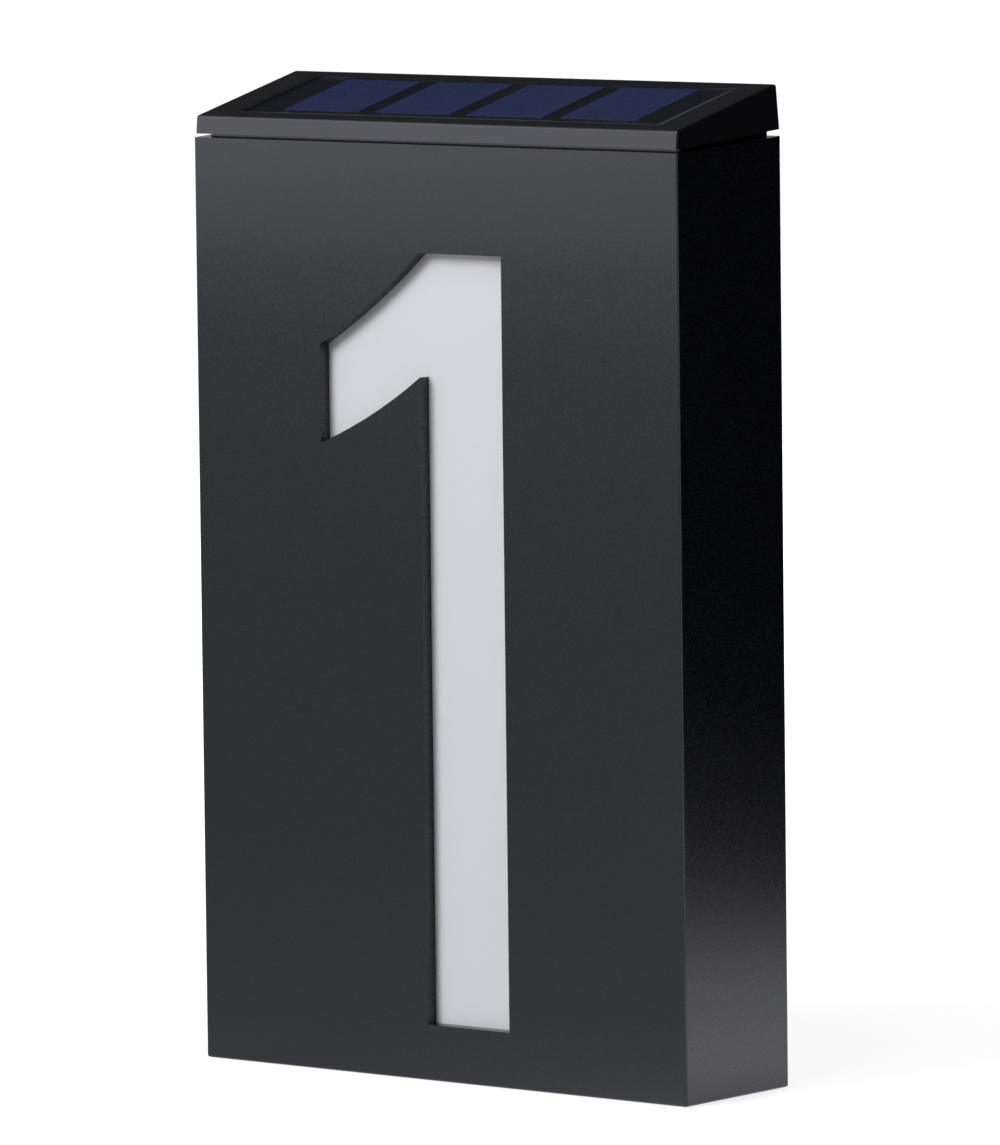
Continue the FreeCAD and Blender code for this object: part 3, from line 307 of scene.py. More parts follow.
# %% [markdown]
# Three soft lamps light the sign. The large one in front on the left gives the
# front face its grey. A small one above the front lights the cap. The third
# stands low at the back left: it lights the back, which the photograph doesn't
# show, and misses the right side and the cap's rims.

# %% The lamps
def soft_lamp(name, place, aim, size, watts):
    """A square lamp at a place that faces a point."""
    light = bpy.data.lights.new(name, "AREA")
    light.color = LAMP_WHITE
    light.size = size
    light.energy = watts
    lamp = new_object(name, light)
    lamp.location = place
    lamp.rotation_euler = (Vector(aim) - Vector(place)).to_track_quat("-Z", "Y").to_euler()
    lamp.visible_camera = False
    print(name, watts, "W,", size, "m wide")


soft_lamp("front_lamp", (-1.1, -2.9, 1.95), (0.0, 0.0, 0.1), 1.6, 93.0)
soft_lamp("top_lamp", (0.1, -0.7, 1.35), (0.0, 0.0, 0.2), 0.7, 4.0)
soft_lamp("back_lamp", (-0.3, 1.5, 0.45), (0.0, 0.0, 0.1), 0.8, 20.0)

# %% [markdown]
# ## Shared surface effects
#
# Three effects appear on several materials, so each is a node group that is
# built once. `moulded grain` is the fine texture that a spark-eroded mould
# leaves on black plastic. `slow tone` is a soft, cloudy change of shade.
# `fine dust` settles on faces that look up.

# %% Helpers for groups
SOCKET_KINDS = {float: "Float", int: "Int", tuple: "Vector"}


def new_tree(kind, name, inputs, outputs):
    """A node tree, what it is given, and the node for what it makes.

    Inputs are name: default, or name: kind where there is no default. Outputs are name: kind.
    """
    tree = bpy.data.node_groups.new(name, kind)
    for label, value in inputs.items():
        kind = SOCKET_KINDS.get(type(value), value)
        socket = tree.interface.new_socket(label, in_out="INPUT", socket_type="NodeSocket" + kind)
        if kind != value:
            socket.default_value = value
    for label, kind in outputs.items():
        tree.interface.new_socket(label, in_out="OUTPUT", socket_type="NodeSocket" + kind)
    print("tree:", name, inputs)
    return tree, add_node(tree, "NodeGroupInput").outputs, add_node(tree, "NodeGroupOutput")


def object_noise(tree, scale, detail):
    """A noise texture on the piece's own coordinates. Scale is in waves per metre."""
    place = add_node(tree, "ShaderNodeTexCoord").outputs["Object"]
    return add_node(tree, "ShaderNodeTexNoise", Vector=place, Scale=scale,
                    Detail=detail).outputs["Fac"]


# %% The group: moulded grain
moulded_grain, given, made = new_tree(
    "ShaderNodeTree", "moulded grain", {"Grains per metre": 1500.0, "Depth": 1.0},
    {"Height": "Float", "Roughening": "Float"})
tree, grains = moulded_grain, given["Grains per metre"]
coarse = object_noise(tree, grains, 3.0)
fine = object_noise(tree, calculate("MULTIPLY", grains, 2.7), 1.0)
relief = calculate("ADD", coarse, calculate("MULTIPLY", fine, 0.5))
set_up(made, Height=calculate("MULTIPLY", relief, given["Depth"]), Roughening=coarse)

# %% The group: slow tone
slow_tone, given, made = new_tree(
    "ShaderNodeTree", "slow tone", {"Clouds per metre": 18.0, "Contrast": 0.5}, {"Tone": "Float"})
tree = slow_tone
centred = calculate("SUBTRACT", object_noise(tree, given["Clouds per metre"], 4.0), 0.5)
spread = calculate("MULTIPLY", centred, given["Contrast"])
tone = add_node(tree, "ShaderNodeClamp", Value=calculate("ADD", spread, 0.5))
set_up(made, Tone=tone.outputs[0])

# %% The group: fine dust
fine_dust, given, made = new_tree(
    "ShaderNodeTree", "fine dust", {"Specks per metre": 900.0, "Cover": 0.3}, {"Dust": "Float"})
tree = fine_dust
normal = add_node(tree, "ShaderNodeNewGeometry").outputs["Normal"]
facing = add_node(tree, "ShaderNodeSeparateXYZ", Vector=normal).outputs["Z"]
speck = remap(object_noise(tree, given["Specks per metre"], 4.0), 0.45, 0.75)
settled = calculate("MULTIPLY", speck, remap(facing, 0.3, 0.95))
set_up(made, Dust=calculate("MULTIPLY", settled, given["Cover"]))

# %% [markdown]
# ## Materials
#
# A finish starts from one recipe: two close shades mixed by `slow tone`, a
# roughness that follows the grain, and a bump from the grain's height. Black
# plastic, white plastic, rubber and metal differ in their numbers, and a few
# finishes add something of their own afterwards.

# %% The recipe for a finish
DUST_GREY = (0.30, 0.29, 0.27)
TONE_CONTRAST = 1.4


def make_finish(name, dark, light, roughness, grains=1500.0, depth=2e-5, clouds=18.0,
                metallic=0.0, dust=0.0):
    """A material from the recipe. Roughness is (lowest, highest), depth is in metres."""
    material = bpy.data.materials.new(name)
    material.use_nodes = True
    tree = material.node_tree
    cloud = add_node(tree, "ShaderNodeGroup", node_tree=slow_tone, Clouds_per_metre=clouds,
                     Contrast=TONE_CONTRAST)
    colour = mix_colours(cloud.outputs["Tone"], dark, light)
    if dust:
        settled = add_node(tree, "ShaderNodeGroup", node_tree=fine_dust, Cover=dust)
        colour = mix_colours(settled.outputs["Dust"], colour, DUST_GREY)
    grain = add_node(tree, "ShaderNodeGroup", node_tree=moulded_grain, Grains_per_metre=grains)
    bump = add_node(tree, "ShaderNodeBump", Height=grain.outputs["Height"], Distance=depth,
                    Strength=1.0)
    set_up(shader_of(material), Base_Color=colour, Metallic=metallic, Normal=bump.outputs[0],
           Roughness=remap(grain.outputs["Roughening"], 0.3, 0.7, *roughness))
    print("finish:", name)
    return material


# %% [markdown]
# The box and the cap are moulded in black plastic. It is nearly black all
# through; the grey of the front face in the photograph is a soft reflection,
# so the roughness matters more than the colour does. The cap is a little
# smoother and lighter than the box, and its top catches a trace of dust.

# %% Black mouldings
housing_black = make_finish(
    "housing_black", (0.0065, 0.0075, 0.0095), (0.009, 0.0102, 0.0128), (0.24, 0.32),
    grains=1700.0, depth=5e-6, clouds=14.0)
cap_black = make_finish(
    "cap_black", (0.012, 0.0125, 0.0145), (0.017, 0.0175, 0.020), (0.20, 0.27),
    depth=8e-6, clouds=22.0, dust=0.01)
tray_black = make_finish(
    "tray_black", (0.012, 0.012, 0.013), (0.020, 0.020, 0.021), (0.42, 0.58), grains=1200.0)

# %% [markdown]
# The diffuser is an opal acrylic sheet: white, a little glossy, with light
# wandering inside it. The subsurface weight lets the light bleed past the
# shadow of the front wall, as it does in the photograph.

# %% White plastics
diffuser_opal = make_finish(
    "diffuser_opal", (0.818, 0.820, 0.835), (0.842, 0.844, 0.858), (0.30, 0.38),
    grains=500.0, depth=4e-6, clouds=9.0)
set_up(shader_of(diffuser_opal), Subsurface_Weight=0.35, Subsurface_Scale=1.0,
       Subsurface_Radius=(0.004, 0.004, 0.004))
reflector_white = make_finish(
    "reflector_white", (0.78, 0.78, 0.76), (0.84, 0.84, 0.82), (0.30, 0.42),
    grains=900.0, depth=1e-5)
switch_white = make_finish(
    "switch_knob", (0.62, 0.62, 0.60), (0.72, 0.72, 0.70), (0.38, 0.52),
    grains=2500.0, depth=1e-5, clouds=200.0)

# %% [markdown]
# Rubber scatters more light than plastic and has no gloss. The wires have a
# soft red or black skin.

# %% Rubber and insulation
seal_rubber = make_finish(
    "seal_rubber", (0.016, 0.016, 0.016), (0.030, 0.030, 0.030), (0.72, 0.88),
    grains=2200.0, clouds=60.0)
lead_red = make_finish(
    "lead_red", (0.33, 0.02, 0.02), (0.42, 0.03, 0.03), (0.34, 0.46),
    grains=2500.0, depth=8e-6, clouds=120.0)
lead_black = make_finish(
    "lead_black", (0.015, 0.015, 0.015), (0.03, 0.03, 0.03), (0.34, 0.46),
    grains=2500.0, depth=8e-6, clouds=120.0)

# %% [markdown]
# Bare metal shows its surroundings, so it is fully metallic and its shades are
# what it reflects: cool zinc on the screws, warmer nickel on the contacts,
# dull tin on legs and joints, and copper on the coil.

# %% Metals
screw_steel = make_finish(
    "screw_steel", (0.46, 0.46, 0.47), (0.60, 0.60, 0.60), (0.26, 0.40),
    grains=2600.0, depth=6e-6, clouds=260.0, metallic=1.0)
contact_nickel = make_finish(
    "contact_nickel", (0.62, 0.60, 0.55), (0.74, 0.72, 0.67), (0.16, 0.28),
    grains=1800.0, depth=4e-6, clouds=180.0, metallic=1.0)
lead_frame = make_finish(
    "lead_frame", (0.60, 0.58, 0.52), (0.70, 0.68, 0.62), (0.20, 0.32),
    grains=3000.0, depth=3e-6, clouds=300.0, metallic=1.0)
copper_wire = make_finish(
    "copper_wire", (0.42, 0.13, 0.05), (0.55, 0.19, 0.08), (0.22, 0.34),
    grains=2600.0, depth=3e-6, clouds=300.0, metallic=1.0)

# %% [markdown]
# The boards are glass-fibre laminate under a solder resist: the weave shows
# faintly through the gloss, so two crossed wave textures make the bump.

# %% Boards
def make_board_finish(name, dark, light):
    """The recipe with a woven bump in place of the grain's."""
    material = make_finish(name, dark, light, (0.28, 0.40), grains=2600.0, clouds=90.0)
    tree = material.node_tree
    place = add_node(tree, "ShaderNodeTexCoord").outputs["Object"]
    waves = [add_node(tree, "ShaderNodeTexWave", bands_direction=axis, Vector=place, Scale=320.0,
                      Distortion=0.4).outputs["Fac"] for axis in ("X", "Y")]
    bump = add_node(tree, "ShaderNodeBump", Height=calculate("MAXIMUM", *waves),
                    Distance=1e-5, Strength=0.5)
    set_up(shader_of(material), Normal=bump.outputs[0])
    return material


circuit_green = make_board_finish("circuit_green", (0.012, 0.115, 0.040), (0.022, 0.165, 0.060))
circuit_white = make_board_finish("circuit_white", (0.72, 0.72, 0.70), (0.80, 0.80, 0.78))
panel_backing = make_board_finish("panel_backing", (0.004, 0.004, 0.006), (0.008, 0.009, 0.012))

# %% [markdown]
# A silicon cell is dark blue. Fine silver fingers cross it; they are a printed
# pattern with no height worth modelling, so they are part of the colour.

# %% Solar cells
FINGER_PITCH = 0.0018
FINGER_SILVER = (0.16, 0.18, 0.24)
cell_silicon = make_finish(
    "cell_silicon", (0.048, 0.074, 0.235), (0.055, 0.084, 0.262), (0.18, 0.30),
    grains=700.0, depth=1e-6, clouds=70.0)
tree = cell_silicon.node_tree
base = shader_of(cell_silicon).inputs["Base Color"]
place = add_node(tree, "ShaderNodeTexCoord").outputs["Object"]
split = add_node(tree, "ShaderNodeSeparateXYZ", Vector=place)
step = calculate("MULTIPLY", split.outputs["X"], 1.0 / FINGER_PITCH)
finger = remap(calculate("PINGPONG", step, 0.5), 0.06, 0.03, 0.0, 0.55)
give(mix_colours(finger, base.links[0].from_socket, FINGER_SILVER), base)

# %% [markdown]
# The panel is sealed under a skin of clear resin, and the lamps are clear
# bodies. The lamps are glass to Blender, with full transmission. The skin is
# so thin that it bends no light, so a low alpha is enough: it lets the cells
# show and keeps a share of its own gloss.

# %% Clear materials
panel_glaze = make_finish(
    "panel_glaze", (0.020, 0.024, 0.040), (0.030, 0.034, 0.052), (0.10, 0.18),
    grains=400.0, depth=3e-6, clouds=40.0)
set_up(shader_of(panel_glaze), Alpha=0.22)
led_lens = make_finish(
    "led_lens", (0.97, 0.97, 0.95), (0.97, 0.97, 0.95), (0.02, 0.05),
    grains=400.0, depth=2e-6, clouds=40.0)
set_up(shader_of(led_lens), Transmission_Weight=1.0, IOR=1.5)

# %% [markdown]
# The accumulator and the capacitor wear shrunk sleeves, which are glossy. The
# chip is matt epoxy, and the coil's drum is ferrite, a dull grey ceramic.

# %% Small components
battery_sleeve = make_finish(
    "battery_sleeve", (0.05, 0.22, 0.11), (0.07, 0.27, 0.14), (0.22, 0.34),
    grains=900.0, depth=4e-6, clouds=60.0)
chip_black = make_finish(
    "chip_black", (0.010, 0.010, 0.010), (0.022, 0.022, 0.022), (0.48, 0.66),
    grains=3200.0, depth=1e-5, clouds=300.0)
coil_ferrite = make_finish(
    "coil_core", (0.045, 0.045, 0.047), (0.075, 0.075, 0.078), (0.55, 0.72),
    grains=3000.0, depth=1e-5, clouds=300.0)
capacitor_sleeve = make_finish(
    "capacitor_sleeve", (0.012, 0.016, 0.06), (0.02, 0.026, 0.085), (0.20, 0.32),
    grains=1200.0, depth=3e-6, clouds=150.0)

# %% Give every solid its finish
FINISHES = (
    (housing_black, "housing_shell", "rear_cover"), (cap_black, "cap_frame"),
    (tray_black, "battery_tray", "battery_door"), (diffuser_opal, "digit_diffuser"),
    (screw_steel, "reflector_screws", "cover_screws", "tray_screws"),
    (reflector_white, "reflector"), (seal_rubber, "head_seal"), (panel_backing, "panel_board"),
    (cell_silicon, "solar_cells"), (panel_glaze, "panel_glaze"),
    (lead_red, "panel_leads", "led_leads"), (battery_sleeve, "battery_cell"),
    (contact_nickel, "battery_contacts"), (circuit_white, "led_board"), (led_lens, "leds"),
    (circuit_green, "circuit_board"), (chip_black, "control_chip", "switch_body"),
    (coil_ferrite, "coil"), (capacitor_sleeve, "capacitor"), (switch_white, "switch_slider"),
)
for material, *nodes in FINISHES:
    for node in nodes:
        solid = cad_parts[node]
        solid.data.materials.clear()
        solid.data.materials.append(material)
print("solids with a finish:", sum(len(row) - 1 for row in FINISHES), "of", len(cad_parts))

# %% [markdown]
# ## Making pieces
#
# Small turned parts, such as screw heads, lamps and the accumulator, are made
# by spinning a profile about an axis, as a lathe would make them. Bent and
# moulded ones are blocks with rounded edges, which catch light as real edges
# do. Each piece is a plain mesh at the origin with its place in its vertices.

# %% Helpers for meshes
def to_object(name, mesh, smooth=True):
    """A new object from a bmesh, which is used up."""
    data = bpy.data.meshes.new(name)
    mesh.to_mesh(data)
    mesh.free()
    for face in data.polygons:
        face.use_smooth = smooth
    return new_object(name, data)


def turned(name, profile, sides=40, place=None):
    """A closed piece spun about Z from (radius, height) points that start and end on the axis."""
    mesh = bmesh.new()
    rings = []
    for radius, height in profile:
        count = 1 if radius == 0 else sides
        rings.append([mesh.verts.new((radius * math.cos(2 * math.pi * i / count),
                                      radius * math.sin(2 * math.pi * i / count), height))
                      for i in range(count)])
    for lower, upper in zip(rings, rings[1:]):
        for i in range(sides):
            corners = ((lower, i), (lower, i + 1), (upper, i + 1), (upper, i))
            corners = list(dict.fromkeys(ring[k % len(ring)] for ring, k in corners))
            if len(corners) > 2:
                mesh.faces.new(corners)
    bmesh.ops.recalc_face_normals(mesh, faces=mesh.faces)
    if place:
        mesh.transform(place)
    return to_object(name, mesh)


def settle(piece, name):
    """A plain object of this name from a piece with its modifiers applied."""
    evaluated = piece.evaluated_get(bpy.context.evaluated_depsgraph_get())
    data = bpy.data.meshes.new_from_object(evaluated)
    bpy.data.objects.remove(piece)
    plain = new_object(name, data)
    data.name = name
    return plain


def bricks(name, boxes):
    """An object of six-sided blocks, one in each (low, high) box."""
    mesh = bmesh.new()
    for low, high in boxes:
        for vertex in bmesh.ops.create_cube(mesh, size=1.0)["verts"]:
            vertex.co = Vector(h if c > 0 else l for c, l, h in zip(vertex.co, low, high))
    return to_object(name, mesh, smooth=False)


def blocks(name, boxes, rounding):
    """Bricks with rounded edges, as a plain mesh."""
    piece = bricks(name, boxes)
    bevel = piece.modifiers.new("soft edges", "BEVEL")
    bevel.width = rounding
    bevel.segments = 2
    bevel.limit_method = "ANGLE"
    bevel.harden_normals = True
    return settle(piece, name)


def hand_over(piece, material=None, instead_of=(), body="solar_head"):
    """Gives a piece its finish, the body it rides on and the solids it stands for."""
    if material:
        piece.data.materials.clear()
        piece.data.materials.append(material)
    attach(piece, body)
    if instead_of:
        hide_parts(*instead_of)
    print(piece.name, "faces:", len(piece.data.polygons))


def merged_copy(node):
    """A copy of a node's mesh with its seams merged."""
    mesh = bmesh.new()
    mesh.from_mesh(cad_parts[node].data)
    bmesh.ops.remove_doubles(mesh, verts=mesh.verts, dist=1e-7)
    return mesh


def separate_places(node):
    """The box of each separate solid of a node, as (low, high) corners."""
    mesh = merged_copy(node)
    left = set(mesh.verts)
    boxes = []
    while left:
        group, waiting = [], [left.pop()]
        while waiting:
            group.append(waiting.pop())
            near = {edge.other_vert(group[-1]) for edge in group[-1].link_edges} & left
            left -= near
            waiting += near
        boxes.append([Vector(pick(v.co[i] for v in group) for i in range(3))
                      for pick in (min, max)])
    mesh.free()
    return sorted(boxes, key=lambda pair: tuple(round(c, 5) for c in pair[0]))


# %% [markdown]
# ## A tree that repeats a shape
#
# Screws, lamps, pins and solder joints are one shape each, set down at many
# places. A Geometry Nodes tree does that: it puts an instance on every point,
# turns them all to their axis, spins each by a random angle from a fixed seed,
# and then makes real faces of the instances.

# %% The tree: repeat on points
def new_geometry_tree(name, inputs):
    """A tree that is given a geometry, its named inputs and a finish."""
    return new_tree("GeometryNodeTree", name,
                    {"Geometry": "Geometry", **inputs, "Finish": "Material"},
                    {"Geometry": "Geometry"})


def end_tree(faces, given, made):
    """Ends a tree: instances become real faces, which get the finish."""
    tree = faces.id_data
    real = add_node(tree, "GeometryNodeRealizeInstances", Geometry=faces)
    finish = add_node(tree, "GeometryNodeSetMaterial", Geometry=real.outputs[0],
                      Material=given["Finish"])
    set_up(made, Geometry=finish.outputs[0])


repeat_tree, given, made = new_geometry_tree(
    "repeat on points", {"Shape": "Object", "Turn": (0.0, 0.0, 0.0), "Spin": 0.0, "Seed": 1})
tree = repeat_tree
shape = add_node(tree, "GeometryNodeObjectInfo", Object=given["Shape"])
spin = add_node(tree, "FunctionNodeRandomValue", data_type="FLOAT", Seed=given["Seed"])
give(given["Spin"], [s for s in spin.inputs if s.type == "VALUE"][1])
about_axis = add_node(tree, "ShaderNodeCombineXYZ",
                      Z=[s for s in spin.outputs if s.type == "VALUE"][0])
placed = add_node(tree, "GeometryNodeInstanceOnPoints", Points=given["Geometry"],
                  Instance=shape.outputs["Geometry"], Rotation=given["Turn"])
spun = add_node(tree, "GeometryNodeRotateInstances", Instances=placed.outputs[0],
                Rotation=about_axis.outputs[0])
end_tree(spun.outputs[0], given, made)


def run_tree(piece, tree, name, **inputs):
    """The plain mesh object that a Geometry Nodes tree makes of an object."""
    modifier = piece.modifiers.new(tree.name, "NODES")
    modifier.node_group = tree
    for socket in tree.interface.items_tree:
        if socket.in_out == "INPUT" and socket.name in inputs:
            modifier[socket.identifier] = inputs[socket.name]
    return settle(piece, name)


def repeat(name, shape, places, finish, turn=(0.0, 0.0, 0.0), spin=0.0, seed=1, keep=False):
    """Sets a shape down at each place. The shape's own object is used up unless it is kept."""
    points = bpy.data.meshes.new(name)
    points.from_pydata([tuple(place) for place in places], [], [])
    made = run_tree(new_object(name + "_points", points), repeat_tree, name, Shape=shape,
                    Turn=turn, Spin=spin, Seed=seed, Finish=finish)
    if not keep:
        bpy.data.objects.remove(shape)
    return made


# %% [markdown]
# ## Screws
#
# The screws are pan heads with a cross recess and a ridged shank. The recess
# is cut with a Boolean, because its crossed walls are what catches the light.
# The solids carry plain heads; these pieces stand in their places.

# %% One screw
THREAD_PITCH = 0.0009
SHANK_RADIUS = 0.00135


def make_screw(name, head_radius, head_height, shank_length):
    """A screw along Z with its seat at height 0, its head above and its shank below."""
    profile = [(0.0, -shank_length), (SHANK_RADIUS * 0.35, -shank_length)]
    for ridge in range(int(shank_length / THREAD_PITCH)):
        low = -shank_length + 0.0006 + ridge * THREAD_PITCH
        profile += [(SHANK_RADIUS * 0.80, low), (SHANK_RADIUS, low + THREAD_PITCH / 2)]
    profile += [(SHANK_RADIUS * 0.8, -0.0001), (SHANK_RADIUS * 0.8, 0.0)]
    profile += [(head_radius * out, head_height * rise) for out, rise in (
        (0.97, 0.0), (1.0, 0.12), (1.0, 0.42), (0.93, 0.72), (0.76, 0.92), (0.5, 1.0), (0.0, 1.0))]
    screw = turned(name, profile, 28)
    arm, half, recess = head_radius * 0.62, head_radius * 0.13, head_height * 0.35
    cutter = bricks(name + "_cross", [((-x, -y, recess), (x, y, head_height * 2))
                                      for x, y in ((arm, half), (half, arm))])
    cut = screw.modifiers.new("cross recess", "BOOLEAN")
    cut.operation = "DIFFERENCE"
    cut.object = cutter
    cut.solver = "EXACT"
    cut.use_self = True
    made = settle(screw, name)
    bpy.data.objects.remove(cutter)
    return made


# %% All the screws
INTO_THE_BACK, UP_FROM_BELOW = (-math.pi / 2, 0.0, 0.0), (math.pi, 0.0, 0.0)
SCREW_SETS = (
    # node, body, head radius, head height, shank length, turn
    ("cover_screws", "housing", 0.0028, 0.0016, 0.0100, INTO_THE_BACK),
    ("reflector_screws", "housing", 0.0024, 0.0013, 0.0070, INTO_THE_BACK),
    ("tray_screws", "solar_head", 0.0024, 0.0013, 0.0070, UP_FROM_BELOW),
)
for node, body, head_radius, head_height, shank_length, turn in SCREW_SETS:
    seats = []
    for low, high in separate_places(node):
        middle = (low + high) / 2
        if turn == INTO_THE_BACK:
            seats.append((middle.x, high.y - head_height, middle.z))
        else:
            seats.append((middle.x, middle.y, low.z + head_height))
    screw = make_screw("one_screw", head_radius, head_height, shank_length)
    piece = repeat(node.replace("screws", "cross_screws"), screw, seats, screw_steel, turn=turn,
                   spin=math.pi, seed=len(seats) + 3)
    hand_over(piece, instead_of=[node], body=body)

# %% [markdown]
# ## The cells' wafers
#
# The solids lie exactly against the resin skin. Two faces in one plane make
# the picture flicker between them, so these wafers are the same shapes, three
# hundredths of a millimetre lower.

# %% Wafers
WAFER_DROP = 0.00003
wafers = merged_copy("solar_cells")
bmesh.ops.recalc_face_normals(wafers, faces=wafers.faces)
slope = max(wafers.faces, key=lambda face: face.normal.z).normal.copy()
bmesh.ops.translate(wafers, verts=wafers.verts, vec=slope * -WAFER_DROP)
hand_over(to_object("cell_wafers", wafers, smooth=False), cell_silicon,
          instead_of=["solar_cells"])
print("the panel slopes by", round(math.degrees(math.acos(slope.z)), 1), "degrees")

# %% [markdown]
# ## Lamps
#
# Each lamp is a clear resin body with a round nose and a flange. Inside it are
# the two legs of its metal frame; the broader one ends in a small cup.

# %% Lamps
lamp_places = separate_places("leds")
lamp_top = lamp_places[0][1].z
lamp_radius = (lamp_places[0][1].x - lamp_places[0][0].x) / 2
lamp_length = lamp_top - lamp_places[0][0].z
rim, core = lamp_radius * 0.998, lamp_radius * 0.86
dome = [(core * math.sin(t), -(lamp_length - core) - core * math.cos(t))
        for t in [math.pi / 2 * k / 8 for k in range(9)]]
lens_shape = turned("lens_shape", [(0.0, dome[0][1])] + dome[1:] + [
    (core, -0.0008), (rim, -0.0007), (rim, 0.0), (0.0, 0.0)], 28)
middles = [((low.x + high.x) / 2, (low.y + high.y) / 2, lamp_top) for low, high in lamp_places]
hand_over(repeat("lamp_lenses", lens_shape, middles, led_lens), instead_of=["leds"])

frame_shape = blocks("frame_shape", [((-0.00125, -0.00025, -0.0031), (-0.0004, 0.00025, -0.0001)),
                                     ((0.00035, -0.00025, -0.0026), (0.00125, 0.00025, -0.0001))],
                     0.00008)
hand_over(repeat("lamp_frames", frame_shape, middles, lead_frame))
cup_shape = turned("cup_shape", [
    (0.0, -0.0030), (0.0006, -0.0030), (0.00085, -0.0037), (0.00072, -0.0037),
    (0.0005, -0.0032), (0.0, -0.0032)], 20)
hand_over(repeat("lamp_cups", cup_shape, [(x - 0.0008, y, z) for x, y, z in middles], lead_frame))

# %% [markdown]
# ## The accumulator
#
# A standard cell is a steel can with a plain shrink sleeve over it. The sleeve
# wraps a little way over the shoulders and leaves the two metal ends bare.

# %% The accumulator
cell_low, cell_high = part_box("battery_cell")
axis_y, axis_z = (cell_low.y + cell_high.y) / 2, (cell_low.z + cell_high.z) / 2
cell_length = cell_high.x - cell_low.x
body_end = cell_length - 0.0010
sleeve_radius = (cell_high.z - cell_low.z) / 2 - 0.00002
along_x = Matrix.Translation((cell_low.x, axis_y, axis_z)) @ Matrix.Rotation(math.pi / 2, 4, "Y")
sleeve = turned("cell_sleeve", [
    (0.0, 0.0004), (0.0058, 0.0004), (0.0060, 0.00015), (sleeve_radius - 0.0006, 0.00015),
    (sleeve_radius - 0.0001, 0.0006), (sleeve_radius, 0.0012),
    (sleeve_radius, body_end - 0.0016), (sleeve_radius - 0.0002, body_end - 0.0008),
    (sleeve_radius - 0.0009, body_end - 0.0001), (0.0050, body_end),
    (0.0048, body_end - 0.0002), (0.0, body_end - 0.0002)], 48, along_x)
hand_over(sleeve, battery_sleeve, instead_of=["battery_cell"])
can = turned("cell_can", [
    (0.0, 0.00025), (0.0052, 0.00025), (0.0056, 0.0), (0.0064, 0.0002),
    (0.0064, body_end - 0.0006), (0.0046, body_end - 0.0004), (0.0026, body_end - 0.0003),
    (0.0025, cell_length - 0.0003), (0.0022, cell_length), (0.0, cell_length)], 48, along_x)
hand_over(can, contact_nickel)

# %% [markdown]
# ## The circuit board's parts
#
# The chip has eight bent legs, the coil has a winding between two flanges, and
# the capacitor has a scored aluminium top under its sleeve. Resistors and
# solder joints are shapes that repeat.

# %% The chip
LEG_REACH, LEG_PITCH = 0.0011, 0.00127
chip_low, chip_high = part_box("control_chip")
chip = blocks("chip_body", [(chip_low + Vector((0.0, LEG_REACH, 0.0001)),
                             chip_high - Vector((0.0, LEG_REACH, 0.0)))], 0.00012)
hand_over(chip, chip_black, instead_of=["control_chip"])

leg_shape = blocks("leg_shape", [((-0.0002, 0.0, 0.0007), (0.0002, 0.0006, 0.0009)),
                                 ((-0.0002, 0.0005, 0.0), (0.0002, 0.0007, 0.0009)),
                                 ((-0.0002, 0.0006, 0.0), (0.0002, 0.0011, 0.0002))], 0.00005)
leg_xs = [chip_low.x + 0.0021 + LEG_PITCH * i for i in range(4)]
back_legs = [(x, chip_high.y - LEG_REACH, chip_low.z) for x in leg_xs]
front_legs = [(x, chip_low.y + LEG_REACH, chip_low.z) for x in leg_xs]
hand_over(repeat("chip_legs_back", leg_shape, back_legs, lead_frame, keep=True))
hand_over(repeat("chip_legs_front", leg_shape, front_legs, lead_frame, turn=(0.0, 0.0, math.pi)))

# %% The coil
COIL_FLANGE, WIRE_TURNS = 0.0011, 11


def upright(low, high):
    """Where a round solid's foot is, as a matrix, with its radius and its height."""
    foot = Vector(((low.x + high.x) / 2, (low.y + high.y) / 2, low.z))
    return Matrix.Translation(foot), (high.x - low.x) / 2, high.z - low.z


def outline_of(radius, height, points):
    """A profile from (share of the radius, height), where a minus counts down from the top."""
    return [(radius * out, rise if rise >= 0 else height + rise) for out, rise in points]


coil_place, coil_radius, coil_height = upright(*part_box("coil"))
WAIST = 0.55
drum = turned("coil_drum", outline_of(coil_radius, coil_height, [
    (0.0, 0.0), (0.96, 0.0), (1.0, 0.0002), (1.0, 0.0009), (WAIST, COIL_FLANGE),
    (WAIST, -COIL_FLANGE), (1.0, -0.0009), (1.0, -0.0002), (0.96, coil_height),
    (0.0, coil_height)]), place=coil_place)
hand_over(drum, coil_ferrite, instead_of=["coil"])

wire_pitch = (coil_height - COIL_FLANGE * 2) / WIRE_TURNS
winding = [(0.0, COIL_FLANGE), (WAIST, COIL_FLANGE)]
for lap in range(WIRE_TURNS):
    low = COIL_FLANGE + lap * wire_pitch
    winding += [(0.84, low + wire_pitch * 0.1), (0.88, low + wire_pitch * 0.5),
                (0.84, low + wire_pitch * 0.9)]
winding += [(WAIST, -COIL_FLANGE), (0.0, -COIL_FLANGE)]
winding = turned("coil_winding", outline_of(coil_radius, coil_height, winding), place=coil_place)
hand_over(winding, copper_wire)

# %% The capacitor
cap_place, cap_radius, cap_height = upright(*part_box("capacitor"))
skin = turned("capacitor_skin", outline_of(cap_radius, cap_height, [
    (0.0, 0.0), (0.9, 0.0), (0.98, 0.0004), (0.98, 0.0008), (0.93, 0.0011), (0.98, 0.0014),
    (0.98, -0.0005), (0.93, -0.0001), (0.80, cap_height), (0.78, -0.0002), (0.0, -0.0002)]),
    place=cap_place)
hand_over(skin, capacitor_sleeve, instead_of=["capacitor"])
top = turned("capacitor_top", outline_of(cap_radius, cap_height, [
    (0.0, -0.0004), (0.76, -0.0004), (0.76, -0.00015), (0.7, -0.00008), (0.0, -0.00008)]),
    place=cap_place)
hand_over(top, contact_nickel)

